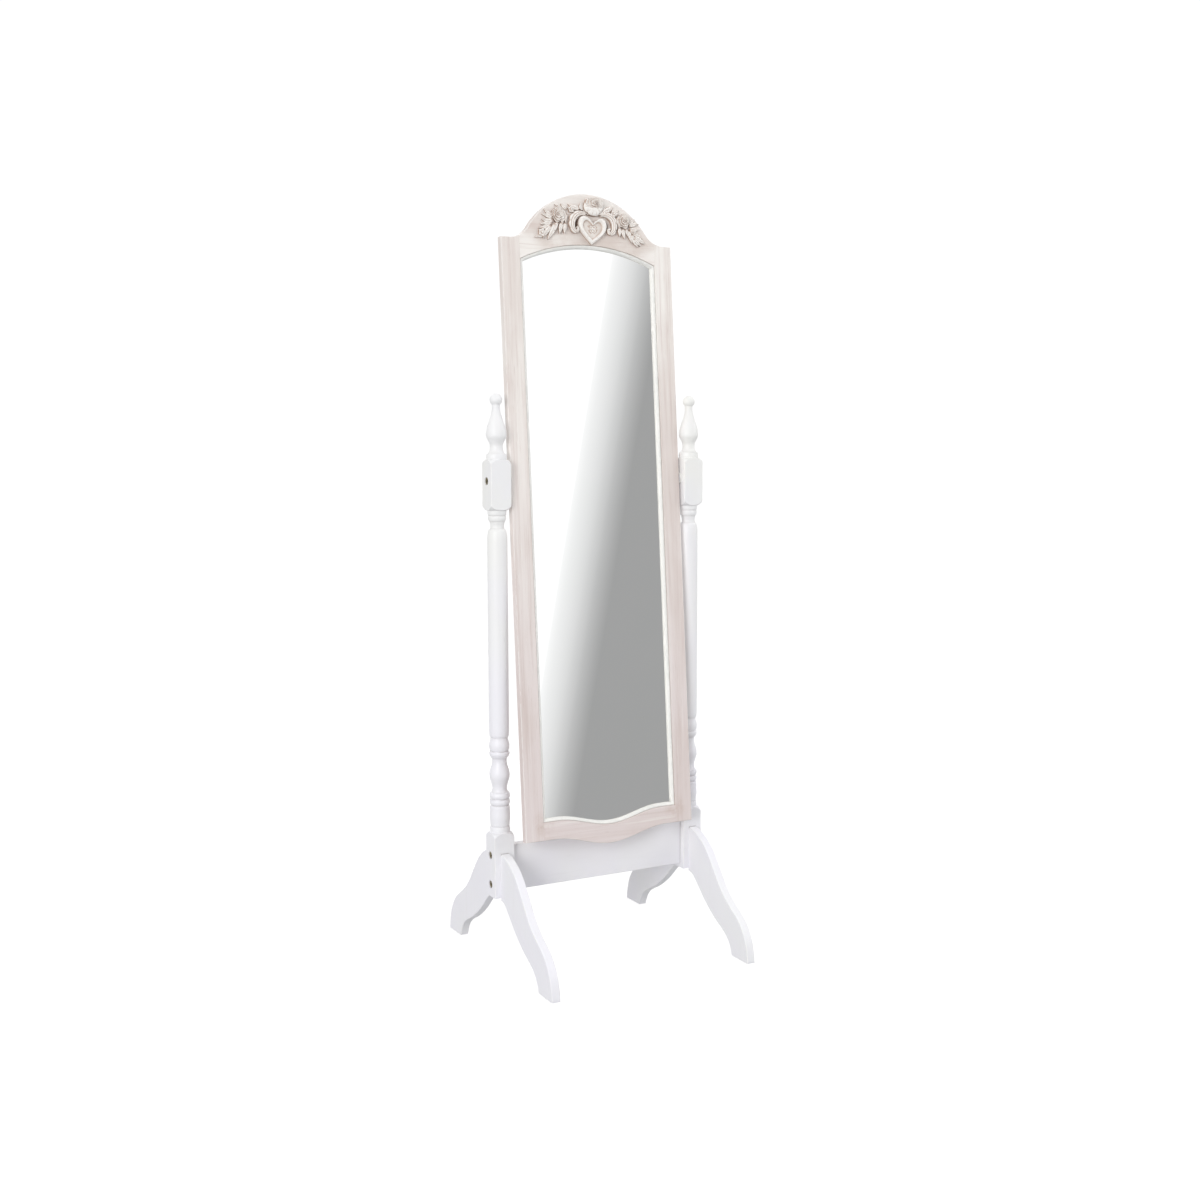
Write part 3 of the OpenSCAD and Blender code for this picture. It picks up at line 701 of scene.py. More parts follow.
def bolt(d, length, head_h):
    """Furniture bolt pointing along +z: dished flat head, hexagon socket, rolled thread at its end."""
    prof = [(d / 2 - 0.6, -length), (d / 2, -length + 0.6)]
    z = -length + 0.6
    while z < -length + 26:  # thread
        prof += [(d / 2, z + 0.25), (d / 2 - 0.45, z + 0.5), (d / 2, z + 0.75)]
        z += 1.0
    prof += [(d / 2, -0.3), (d / 2 + 0.4, 0), (7.1, 0), (7.5, 0.4), (7.5, head_h - 1.3)]
    prof += [(7.5 - 1.1 * (1 - math.cos(a)), head_h - 1.3 + 1.1 * math.sin(a)) for a in (math.pi / 2 * k / 5 for k in range(1, 6))]
    prof += [(5.4, head_h - 0.15), (4.4, head_h - 0.42), (3.4, head_h - 0.5)]
    o = lathe(prof, 64, "bolt")
    cut = lathe([(2.3, head_h - 2.8), (2.3, head_h - 0.9), (2.75, head_h + 0.2)], 6, "hex")
    return boolean(o, cut, "DIFFERENCE")


def aimed(o, side, x, z):
    o.data.transform(Matrix.Translation((x * MM, 0, z * MM)) @ Matrix.Rotation(side * math.pi / 2, 4, "Y"))
    return o


def metal_piece(o, mat, body, slot, node, angle=30):
    o.data.materials.clear()
    o.data.materials.append(mat)
    soften(o, angle)
    place(o, body, slot, node)


metal_piece(join([aimed(bolt(6, 75, 3.8), s, s * (OUTER_X - 5), z) for s in (-1, 1) for z in BOLT_Z], "stretcher_bolt_set"),
            BRASS, "stand", "antique_brass", "stretcher_bolts")
metal_piece(join([aimed(bolt(6, 60, 3.6), s, s * (OUTER_X - 5 + 0.35), PIVOT_Z) for s in (-1, 1)], "pivot_bolt_pair"),
            BRASS, "mirror", "antique_brass", "pivot_bolts")


def barrel(s, z):
    o = lathe([(4.3, -5.8), (4.95, -5.2), (4.95, 5.2), (4.3, 5.8)], 48, "nut")
    bm = collect([(x, y, h) for h in (4.4, 7) for x, y in ((-6, -0.6), (6, -0.6), (6, 0.6), (-6, 0.6))],
                 [(0, 3, 2, 1), (4, 5, 6, 7), (0, 1, 5, 4), (1, 2, 6, 5), (2, 3, 7, 6), (3, 0, 4, 7)])
    boolean(o, to_object(bm, "slot", None), "DIFFERENCE")
    o.data.transform(Matrix.Rotation(-math.pi / 2, 4, "X"))
    boolean(o, rod(3.02, -8, 8, 0, "tap", 32), "DIFFERENCE")
    o.data.transform(Matrix.Translation((s * (INNER_X - 30) * MM, 0, z * MM)))
    return o


metal_piece(join([barrel(s, z) for s in (-1, 1) for z in BOLT_Z], "barrel_nut_set"), ZINC, "stand", "zinc_steel", "barrel_nuts")
metal_piece(join([aimed(ring(ring_profile(3.05, 11, 3.65, 0.5), 64, "spacer"), -s, s * INNER_X, PIVOT_Z) for s in (-1, 1)], "pivot_spacer_pair"),
            NYLON, "stand", "spacer_nylon", "pivot_spacers")
washers = []
for s in (-1, 1):
    w = ring(ring_profile(3.02, 10, 1.5, 0.25), 64, "washer")
    w.data.transform(TILT @ Matrix.Translation((s * FRAME_W * MM, 0, 0)) @ Matrix.Rotation(s * math.pi / 2, 4, "Y"))
    washers.append(w)
metal_piece(join(washers, "pivot_washer_pair"), ZINC, "mirror", "zinc_steel", "pivot_washers")


# ------------------------------------------------------------------ mirror frame
def arch_at(u, o=0.0):
    return ARCH_C + math.sqrt((ARCH_R + o) ** 2 - u * u)


def edge_at(u):
    return -FOOT_EDGE - (EDGE_DIP * (1 + math.cos(math.pi * u / 130)) / 2 if abs(u) < 130 else 0)


def sill_at(u):
    return -SILL - (SILL_DIP * (1 + math.cos(math.pi * u / 120)) / 2 if abs(u) < 120 else 0)


def arc(cx, cy, r, a0, a1, n):
    return [(cx + r * math.cos(math.radians(a0 + (a1 - a0) * i / n)), cy + r * math.sin(math.radians(a0 + (a1 - a0) * i / n))) for i in range(n + 1)]


COVE_Y = SHOULDER + COVE_R
COVE_X = math.sqrt((CREST_R + COVE_R) ** 2 - (COVE_Y - CREST_C) ** 2)
COVE_A = math.degrees(math.atan2(COVE_Y - CREST_C, COVE_X))
COVE_IN = math.degrees(math.acos((COVE_X - SIGHT) / COVE_R))
CREST_LINE = (arc(COVE_X, COVE_Y, COVE_R, 180 + COVE_IN, 180 + COVE_A, 14)[:-1] + arc(0, CREST_C, CREST_R, COVE_A, 180 - COVE_A, 72)
              + arc(-COVE_X, COVE_Y, COVE_R, 360 - COVE_A, 360 - COVE_IN, 14)[1:])


def opening(o):
    h = SIGHT + o
    a = math.degrees(math.acos(h / (ARCH_R + o)))
    return [(-h, sill_at(-h) - o)] + [(i * 4.0, sill_at(i * 4.0) - o) for i in range(-30, 31)] + [(h, sill_at(h) - o)] + arc(0, ARCH_C, ARCH_R + o, a, 180 - a, 48)


def flat(u, v, n):
    return (u, -n, v)


def prism(outline, n0, n1, name):
    p = clean(outline)
    n = len(p)
    verts = [flat(*q, h) for h in (n0, n1) for q in p]
    faces = [(i, (i + 1) % n, n + (i + 1) % n, n + i) for i in range(n)] + [tuple(reversed(range(n))), tuple(range(n, 2 * n))]
    o = to_object(collect(verts, faces), name, None, TILT)
    return o


def joint_edge(mid, d):
    """Joints keep a hairline arris, the opening a small one, the outer edges the full round."""
    if abs(abs(mid[0]) - SIGHT) < 0.3 and abs(d[0]) < 0.1:
        return 0.45
    if abs(mid[0]) < SIGHT + 0.3 and -712 < mid[1] < 474 and mid[1] < arch_at(min(abs(mid[0]), SIGHT)) + 1.5:
        if mid[1] > 430 or mid[1] > -SILL - SILL_DIP - 1:
            return 0.9
    return None


rebate_cut = lambda: prism(opening(REBATE), -FT - 3, GLASS_N, "rebate")


for side, name, node in ((-1, "stile_left", "left_stile"), (1, "stile_right", "right_stile")):
    top = arc(COVE_X, COVE_Y, COVE_R, 270, 180 + COVE_IN, 10)
    out = [(SIGHT, -FOOT_EDGE), (FRAME_W, -FOOT_EDGE), (FRAME_W, SHOULDER)] + top[:-1]
    v_top = top[-1][1]
    out += near_corners((SIGHT, v_top), (SIGHT, arch_at(SIGHT)))[:3] + [(SIGHT, arch_at(SIGHT)), (SIGHT, -SILL)] + near_corners((SIGHT, -SILL), (SIGHT, -FOOT_EDGE))[2:3]
    o = board(name, [(side * u, v) for u, v in out], -FT, FT, flat, WASH_V, r=2.0, edge_r=joint_edge, matrix=TILT, back_r=0.5)
    boolean(o, rebate_cut(), "DIFFERENCE")
    soften(o, 38)
    place(o, "mirror", "washed_wood", node)

o = board("rail_top", CREST_LINE + near_corners(CREST_LINE[-1], (-SIGHT, arch_at(SIGHT)))[1:3]
          + [(SIGHT * i / 40, arch_at(SIGHT * i / 40)) for i in range(-40, 41)] + near_corners((SIGHT, arch_at(SIGHT)), CREST_LINE[0])[1:3], -FT, FT, flat, WASH_U,
          r=2.0, edge_r=joint_edge, matrix=TILT, back_r=0.5)
boolean(o, rebate_cut(), "DIFFERENCE")
soften(o, 38)
place(o, "mirror", "washed_wood", "top_rail")

o = board("rail_bottom", [(SIGHT * i / 40, edge_at(SIGHT * i / 40)) for i in range(-40, 41)] + near_corners((SIGHT, -FOOT_EDGE), (SIGHT, -SILL))[1:3]
          + [(-SIGHT * i / 40, sill_at(SIGHT * i / 40)) for i in range(-40, 41)] + near_corners((-SIGHT, -SILL), (-SIGHT, -FOOT_EDGE))[1:3],
          -FT, FT, flat, WASH_U, r=2.0, edge_r=joint_edge, matrix=TILT, back_r=0.5)
boolean(o, rebate_cut(), "DIFFERENCE")
soften(o, 38)
place(o, "mirror", "washed_wood", "bottom_rail")

# slip moulding: a quirk, a rounded crown, then down to the glass
SLIP_FRONT = FT - 1.5
SECTION = [(0.0, GLASS_N), (0.0, 4.6), (0.35, 5.4), (0.75, 5.9)]
SECTION += [(0.75 + (SLIP_W - 0.95) * math.sin(math.radians(a)), GLASS_N + 1.3 + (SLIP_FRONT - GLASS_N - 1.3) * math.cos(math.radians(a) * 1.0)) for a in range(6, 91, 7)]
SECTION += [(SLIP_W - 0.2, GLASS_N + 1.3), (SLIP_W, GLASS_N + 0.9), (SLIP_W, GLASS_N)]
# painted shade: darkest at the quirk and next to the glass, standing in for the shadow lines along both edges of the
# slip
SLIP_EDGE_SHADE = [0.9, 0.9, 0.6, 0.3] + [0.0] * (len(SECTION) - 7) + [0.5, 0.8, 0.9]
IN_W = SIGHT - SLIP_W
TOP_OUT, TOP_IN = (SIGHT, arch_at(SIGHT)), (IN_W, ARCH_C + math.sqrt((ARCH_R - SLIP_W) ** 2 - IN_W ** 2))
LOW_OUT, LOW_IN = (SIGHT, sill_at(SIGHT)), (IN_W, sill_at(IN_W) + SLIP_W)


def swept(name, rows, node):
    """rows: for each station, the (u, v, n) of every section point."""
    m, k = len(rows), len(rows[0])
    verts = [flat(*p) for r in rows for p in r]
    faces = [(i * k + j, (i + 1) * k + j, (i + 1) * k + (j + 1) % k, i * k + (j + 1) % k) for i in range(m - 1) for j in range(k)]
    faces += [tuple(range(k)), tuple((m - 1) * k + j for j in reversed(range(k)))]
    o = to_object(collect(verts, faces), name, SLIP, TILT)
    give(o, "cavity", np.tile(SLIP_EDGE_SHADE, m))
    crown = [1.0 if 3 <= j <= 9 else 0.0 for j in range(k)]
    give(o, "wear", np.tile(crown, m))
    soften(o, 50)
    place(o, "mirror", "cream_slip", node)


for side, name, node in ((-1, "slip_moulding_left", "slip_left"), (1, "slip_moulding_right", "slip_right")):
    rows = []
    for i in range(41):
        t = i / 40
        row = []
        for a, n in SECTION:
            f = a / SLIP_W
            v0 = LOW_OUT[1] + (LOW_IN[1] - LOW_OUT[1]) * f
            v1 = TOP_OUT[1] + (TOP_IN[1] - TOP_OUT[1]) * f
            row.append((side * (SIGHT - a), v0 + (v1 - v0) * t, n))
        rows.append(row)
    swept(name, rows, node)
rows = []
for i in range(73):
    row = []
    for a, n in SECTION:
        f = a / SLIP_W
        w = SIGHT - a
        hx = TOP_OUT[0] + (TOP_IN[0] - TOP_OUT[0]) * f
        u = hx * (1 - i / 36)
        row.append((u, ARCH_C + math.sqrt((ARCH_R - a) ** 2 - u * u), n))
    rows.append(row)
swept("slip_moulding_top", rows, "slip_top")
rows = [[((2 * i / 96 - 1) * (SIGHT - a), sill_at((2 * i / 96 - 1) * (SIGHT - a)) + a, n) for a, n in SECTION] for i in range(97)]
swept("slip_moulding_bottom", rows, "slip_bottom")

o = board("mirror_pane", opening(REBATE - 1.5), GLASS_N - GLASS_T, GLASS_N, flat, GLASS, r=0.4, matrix=TILT, steps=2)
soften(o, 25)
co = coords(o)
give(o, "wear", (co[:, 1] > -GLASS_N + 0.2).astype(float) * 0.7)
place(o, "mirror", "silvered_glass", "mirror_glass")
o = board("back_panel", opening(REBATE - 1.5), GLASS_N - GLASS_T - BOARD_T, GLASS_N - GLASS_T, flat, HARD, r=0.35, matrix=TILT, steps=2)
soften(o, 40)
place(o, "mirror", "hardboard", "backing_board")

points = []
NB = GLASS_N - GLASS_T - BOARD_T
spots = [(s * (SIGHT + REBATE - 2), v, 0) for s in (-1, 1) for v in (-600, -340, -80, 180, 380)]
spots += [(u, sill_at(u) - REBATE + 2, 1) for u in (-80, 80)]
spots += [(u, arch_at(u, REBATE) - 2, 1) for u in (-90, 0, 90)]
for u, v, turn in spots:
    a = random.uniform(-0.06, 0.06)
    shape = [(-6, 0), (-4.6, 3.0), (-2, 3.5), (4.8, 3.5), (6, 2.4), (6, -2.4), (4.8, -3.5), (-2, -3.5), (-4.6, -3.0)]
    out = []
    for x, y in shape:
        if not turn and u < 0:
            x = -x
        if turn:
            x, y = y, x
        out.append((u + x * math.cos(a) - y * math.sin(a), v + x * math.sin(a) + y * math.cos(a)))
    g = board("point", out, NB - 0.6, NB, flat, None, r=0.15, matrix=TILT, steps=1)
    points.append(g)
metal_piece(join(points, "glazing_point_set"), ZINC, "mirror", "zinc_steel", "glazing_points")


# ------------------------------------------------------------------ carving
class Relief:
    """Closed relief solids standing on the face of the crest. Points are (u, v, height off the wood, wash left there)."""

    def __init__(self):
        self.v, self.f = [], []

    def patch(self, grid, base=-0.15):
        """grid[i][j] is a point. The patch gets walls down to the wood and a flat bottom."""
        ni, nj, s = len(grid), len(grid[0]), len(self.v)
        for row in grid:
            self.v += [tuple(p) for p in row]
        idx = lambda i, j: s + i * nj + j
        for i in range(ni - 1):
            for j in range(nj - 1):
                self.f.append((idx(i, j), idx(i + 1, j), idx(i + 1, j + 1), idx(i, j + 1)))
        rim = [idx(i, 0) for i in range(ni)] + [idx(ni - 1, j) for j in range(1, nj)] + [idx(i, nj - 1) for i in range(ni - 2, -1, -1)] + [idx(0, j) for j in range(nj - 2, 0, -1)]
        low = len(self.v)
        self.v += [(self.v[k][0], self.v[k][1], base, 1.0) for k in rim]
        m = len(rim)
        for k in range(m):
            self.f.append((rim[k], rim[(k + 1) % m], low + (k + 1) % m, low + k))
        self.f.append(tuple(low + k for k in range(m)))

    def rings(self, loops, base=-0.15):
        """loops from the outside inwards, each with the same number of points."""
        s, n = len(self.v), len(loops[0])
        first = [(p[0], p[1], base, 1.0) for p in loops[0]]
        for l in [first] + loops:
            self.v += [tuple(p) for p in l]
        for a in range(len(loops)):
            for i in range(n):
                j = (i + 1) % n
                self.f.append((s + a * n + i, s + a * n + j, s + (a + 1) * n + j, s + (a + 1) * n + i))
        self.f.append(tuple(s + i for i in range(n)))
        self.f.append(tuple(s + len(loops) * n + i for i in range(n)))


R = Relief()
ROSES = []  # index ranges of the rose vertices
bell = lambda x, w: math.exp(-(x / w) ** 2)


def leaf(base, tip, width, h0, h1, bend=0.0, dome=1.5, lobes=0, vein=0.75, ns=34, nt=21, curl=0.0, twist=0.0):
    """A carved leaf from base to tip, with a midrib, side veins and, if lobes, a scalloped edge."""
    bx, by = base
    tx, ty = tip
    dx, dy = tx - bx, ty - by
    L = math.hypot(dx, dy)
    px, py = -dy / L, dx / L
    mx, my = (bx + tx) / 2 + px * bend * L, (by + ty) / 2 + py * bend * L
    grid = []
    for i in range(ns):
        s = i / (ns - 1)
        cx = (1 - s) ** 2 * bx + 2 * s * (1 - s) * mx + s * s * tx
        cy = (1 - s) ** 2 * by + 2 * s * (1 - s) * my + s * s * ty
        gx = 2 * (1 - s) * (mx - bx) + 2 * s * (tx - mx)
        gy = 2 * (1 - s) * (my - by) + 2 * s * (ty - my)
        g = math.hypot(gx, gy)
        nx, ny = -gy / g, gx / g
        w = width / 2 * max(0.10, math.sin(math.pi * min(1, 0.06 + 0.94 * s) ** 0.78)) ** 0.9
        if s > 0.93:
            w *= max(0.25, (1 - s) / 0.07) ** 0.5
        n_l = lobes or 3
        w *= 1 + (0.20 if lobes else 0.07) * (abs(math.sin(math.pi * n_l * s)) - 0.6)
        row = []
        for j in range(nt):
            t = 2 * j / (nt - 1) - 1
            at = abs(t)
            grow = min(1, 5 * s) * min(1, 5 * (1 - s) + 0.2)
            body = dome * (1 - at ** 2.2) * (0.35 + 0.65 * math.sin(math.pi * min(1, 0.12 + 0.8 * s)))
            rib = -0.85 * vein * bell(t, 0.13) + 0.40 * vein * bell(at - 0.27, 0.13)
            wave = math.cos(2 * math.pi * (s * n_l * 1.0 - at * 0.8))
            side = 0.50 * vein * wave * at * (1.15 - at) * 2.0
            h = h0 + (h1 - h0) * s + curl * s * s * at + twist * t * s + body + (rib + side) * grow
            ink = max(0.92 * bell(at - 1.0, 0.11), 0.62 * bell(t, 0.10) * grow, 0.85 * (1 - s / 0.20), 0.42 * max(0, -wave) ** 3 * min(1, 2.4 * at) * grow)
            row.append((cx + nx * w * t, cy + ny * w * t, max(0.5, h), ink))
        grid.append(row)
    R.patch(grid)


def petal(c, rad, a0, a1, h, dip, sy=1.0, rim=1.0, phase=0.0, lift=0.0, r_in=0.35, rip=0.035, na=30, nr=14, smooth=False, edge=0.86):
    """One rose petal: a shallow shell round c from angle a0 to a1, with a rolled outer rim."""
    grid = []
    for i in range(na):
        t = 2 * i / (na - 1) - 1
        a = math.radians(a0 + (a1 - a0) * i / (na - 1))
        tuck = 1 - 0.26 * abs(t) ** 3.2
        R0 = rad * tuck * (1 + rip * math.sin(3.1 * a + phase) + rip * 0.6 * math.sin(7.3 * a + 2 * phase))
        row = []
        for j in range(nr):
            k = j / (nr - 1)
            r = R0 * (r_in + (1 - r_in) * math.sin(math.pi / 2 * k) ** 0.9)
            if smooth:  # an outer petal of the cup: swells out of the wood and turns over at its rim
                roll = -dip * k ** 2.6 + rim * 0.25 * math.sin(math.pi * k)
            else:
                roll = -dip * (1 - k) ** 1.25 + rim * bell(k - 0.78, 0.16) * 0.62 - rim * max(0, (k - 0.83) / 0.17) ** 2 * 1.25
            crease = 0.16 * math.sin(9 * a + phase * 3) * k * (1 - k) * 2.4
            hh = h * (1 - 0.10 * abs(t) ** 3) + roll + lift * t + crease
            ink = max(0.62 * bell(abs(t) - 1, 0.045), edge * bell(k - 1, 0.085 if edge > 1 else 0.055), 0.75 * max(0, 1 - k / 0.22) * (0.3 if smooth else 1.0))
            if smooth:  # shallow folds run up the cup
                fold = max(0.0, -math.sin(11 * a + phase * 3)) * k * (1 - k) * 4
                hh -= 0.35 * fold
                ink = max(ink, 0.42 * fold ** 2)
            row.append((c[0] + r * math.cos(a), c[1] + r * math.sin(a) * sy, max(0.6, hh), ink))
        grid.append(row)
    R.patch(grid)


def rose(c, rad, h, turn=0.0, sy=1.0, shift=(0, 0), layers=None):
    layers = layers or [(5, 1.0, 0.50), (4, 0.76, 0.74), (3, 0.50, 0.95), (2, 0.28, 1.02)]
    first = len(R.v)
    for li, (n, f, hf) in enumerate(layers):
        cc = (c[0] + shift[0] * (1 - f), c[1] + shift[1] * (1 - f))
        for k in range(n):
            mid = turn + li * 47 + k * 360 / n
            half = 360 / n * (0.66 if n > 2 else 0.60)
            petal(cc, rad * f, mid - half, mid + half, h * hf, 1.5 + 1.3 * f, sy, 1.0 + 0.6 * f, phase=li * 1.7 + k * 2.3,
                  lift=0.5, r_in=0.30, rip=0.035 + 0.02 * f, edge=1.2 if li == 0 and not turn == 262 else 0.86)
    # the coiled heart of the bud
    cc = (c[0] + shift[0] * 0.86, c[1] + shift[1] * 0.86)
    grid = []
    for i in range(44):
        a = 2 * math.pi * i / 43 * 1.75
        row = []
        for j in range(7):
            k = j / 6
            r = rad * (0.035 + 0.125 * i / 43) + rad * 0.050 * (k - 0.5)
            row.append((cc[0] + r * math.cos(a), cc[1] + r * math.sin(a) * sy, h * 1.03 + 0.6 * math.sin(math.pi * k) - 0.5 * i / 43, 0.9 * abs(2 * k - 1) ** 3))
        grid.append(row)
    R.patch(grid)
    R.rings([[(cc[0] + rad * q * math.cos(t), cc[1] + rad * q * math.sin(t) * sy, h * hq, 0.8) for t in (2 * math.pi * i / 20 for i in range(20))]
             for q, hq in ((0.17, 0.93), (0.12, 0.955), (0.05, 0.965))])
    ROSES.append((first, len(R.v)))


def blossom(c, rad, h, turn=0.0, n=5):
    for k in range(n):
        a = math.radians(turn + 360 * k / n)
        tip = (c[0] + rad * math.cos(a), c[1] + rad * math.sin(a))
        base = (c[0] + rad * 0.12 * math.cos(a), c[1] + rad * 0.12 * math.sin(a))
        leaf(base, tip, rad * 1.0, h * 0.62, h * 0.9, dome=1.0, vein=0.4, ns=16, nt=13, curl=0.5)
    R.rings([[(c[0] + rad * q * math.cos(t), c[1] + rad * q * math.sin(t), hh, k) for t in (2 * math.pi * i / 18 for i in range(18))]
             for q, hh, k in ((0.30, h * 0.9, 0.9), (0.29, h + 0.5, 0.5), (0.22, h + 1.1, 0), (0.12, h + 1.3, 0), (0.05, h + 1.2, 0.2))])


def scroll(path, widths, heights, flutes=3, ns=90, nt=25, lobe=0.0, n_lobe=5, side=1):
    """An acanthus scroll along a path, fluted, with lobes on its outer side."""
    P = spline([(x, y, w, h) for (x, y), w, h in zip(path, widths, heights)], 10)
    m = len(P)
    acc = [0.0]
    for a, b in zip(P, P[1:]):
        acc.append(acc[-1] + math.hypot(b[0] - a[0], b[1] - a[1]))
    grid = []
    for i in range(ns):
        want = acc[-1] * i / (ns - 1)
        k = min(m - 2, max(0, int(np.searchsorted(acc, want)) - 1))
        f = (want - acc[k]) / max(1e-6, acc[k + 1] - acc[k])
        x, y, w, h = (P[k][q] + (P[k + 1][q] - P[k][q]) * f for q in range(4))
        ka, kb = max(0, k - 1), min(m - 1, k + 2)
        dx, dy = P[kb][0] - P[ka][0], P[kb][1] - P[ka][1]
        l = math.hypot(dx, dy) or 1
        nx, ny = -dy / l * side, dx / l * side
        s = i / (ns - 1)
        row = []
        for j in range(nt):
            t = 2 * j / (nt - 1) - 1
            ww = w / 2
            tooth = abs(math.sin(math.pi * n_lobe * s)) ** 0.7
            if t > 0 and lobe:
                ww *= 1 + lobe * (tooth - 0.45) * t
            groove = (0.5 - 0.5 * math.cos(2 * math.pi * flutes * (t + 1) / 2)) ** 0.6
            big = min(1, w / 9)
            hh = h * (0.50 + 0.50 * math.sqrt(max(0, 1 - t * t))) - 1.35 * (1 - groove) * (1 - abs(t) ** 4) * big
            if lobe:
                hh -= 1.5 * (1 - tooth) ** 2 * max(0, t) * 1.1
            ink = max(0.9 * bell(abs(t) - 1, 0.09), 0.78 * (1 - groove) ** 1.6 * big, (0.85 * (1 - tooth) ** 2.2 * max(0, t) ** 0.7) if lobe else 0)
            row.append((x + nx * ww * t, y + ny * ww * t, max(0.5, hh), ink))
        grid.append(row)
    R.patch(grid)


# heart plaque: broad rounded border, sunk field with a plain quatrefoil
def heart_loop(k, h, ink, n=110):
    out = []
    for i in range(n):
        t = 2 * math.pi * i / n
        x = 16 * math.copysign(abs(math.sin(t)) ** 1.9, math.sin(t))
        y = 13 * math.cos(t) - 5 * math.cos(2 * t) - 2 * math.cos(3 * t) - math.cos(4 * t)
        x, y = x / 16, (y + 2.2) / 14.6
        a = math.radians(-5)
        x, y = x * 31.6 * k, y * 27.4 * k
        out.append((7.2 + x * math.cos(a) - y * math.sin(a), 500.6 + x * math.sin(a) + y * math.cos(a), h, ink))
    return out


prof = [(1.0, 4.0, 0.40), (1.0, 6.8, 0.15), (0.985, 8.2, 0.0), (0.955, 9.4, 0), (0.915, 10.2, 0), (0.87, 10.5, 0), (0.82, 10.3, 0), (0.76, 9.7, 0),
        (0.72, 8.8, 0.15), (0.695, 7.6, 0.4), (0.675, 6.4, 0.6), (0.655, 5.7, 0.6), (0.63, 5.5, 0.42), (0.56, 5.6, 0.36), (0.42, 5.9, 0.34), (0.22, 6.2, 0.32), (0.06, 6.3, 0.32)]
R.rings([heart_loop(*q) for q in prof])
for k in range(4):
    a = math.radians(45 + 90 * k)
    c = (7.8 + 4.7 * math.cos(a), 503.0 + 4.7 * math.sin(a))
    R.rings([[(c[0] + 3.9 * q * math.cos(t), c[1] + 3.9 * q * math.sin(t), hh, ik) for t in (2 * math.pi * i / 22 for i in range(22))]
             for q, hh, ik in ((1.0, 6.0, 0.9), (0.97, 6.9, 0.5), (0.82, 7.4, 0), (0.62, 7.2, 0.1), (0.45, 6.7, 0.5), (0.2, 6.5, 0.6))])
R.rings([[(7.8 + 2.0 * q * math.cos(t), 503.0 + 2.0 * q * math.sin(t), hh, ik) for t in (2 * math.pi * i / 18 for i in range(18))]
         for q, hh, ik in ((1.0, 6.8, 0.8), (0.85, 7.7, 0.2), (0.45, 8.1, 0), (0.1, 8.2, 0))])

# centre rose: a full cup seen from the front, its open mouth and coiled bud above and to the right
for a0, a1, r, h in ((140, 205, 29, 4.4), (335, 385, 30, 4.4), (196, 262, 25.5, 5.6), (285, 345, 26.5, 5.6), (60, 140, 23, 5.0), (0, 75, 25, 4.8)):
    petal((10.0, 546.5), r, a0, a1, h, 1.6, 0.66, 1.3, phase=a0 * 0.03, lift=0.5, r_in=0.4)
for a0, a1, r, h in ((125, 236, 20.5, 11.6), (300, 415, 21.5, 11.6), (205, 332, 20.5, 13.2)):
    petal((10.5, 547.5), r * 1.04, a0, a1, h, 6.2, 0.86, 1.6, phase=a0 * 0.02, lift=0.3, r_in=0.12, rip=0.02, na=56, nr=22, smooth=True, edge=1.25)
rose((11.5, 554.5), 19.5, 14.6, turn=262, sy=0.62, shift=(6.5, -0.5),
     layers=[(4, 1.0, 0.80), (3, 0.78, 0.88), (3, 0.56, 0.96), (3, 0.37, 1.0), (2, 0.25, 1.03)])
# side roses
rose((-67.0, 528.0), 15.2, 10.8, turn=20, shift=(-3.0, 1.0))
rose((81.0, 524.5), 14.8, 10.8, turn=140, shift=(3.5, -0.5))

# the acanthus scrolls, and a thin, very dark patch laid in each gap between them and the heart
for s, off in ((-1, 8.5), (1, 4.0)):
    m = lambda u: 4.5 + s * (u - 4.5) + off
    P2 = [(m(24), 533), (m(38), 533.5), (m(49), 527.5), (m(54.5), 517), (m(54.0), 505), (m(48), 497.5), (m(42.5), 499), (m(41.5), 504), (m(45), 506)]
    scroll(P2, [6, 10.5, 13.5, 13.5, 11.5, 8.5, 6.5, 5.5, 4.5], [6.5, 8.2, 9.0, 8.6, 7.8, 7.2, 7.0, 7.6, 8.2], flutes=3, lobe=0.34, n_lobe=6, side=s)
for slot in (((-18.5, 525.5), (-24.5, 519), (-28, 511), (-28.5, 503)), ((33.0, 526.5), (39.5, 520), (42.5, 512.5), (43, 505))):
    grid = []
    for i in range(17):
        t = i / 16
        x, y = (sum(b * q[k] for b, q in zip(((1 - t) ** 3, 3 * t * (1 - t) ** 2, 3 * t * t * (1 - t), t ** 3), slot)) for k in (0, 1))
        half = 0.6 + 3.6 * math.sin(math.pi * t) ** 0.7
        grid.append([(x + half * q, y + half * 0.25 * q, 0.9, 1.4) for q in (-1, -0.5, 0, 0.5, 1)])
    R.patch(grid)

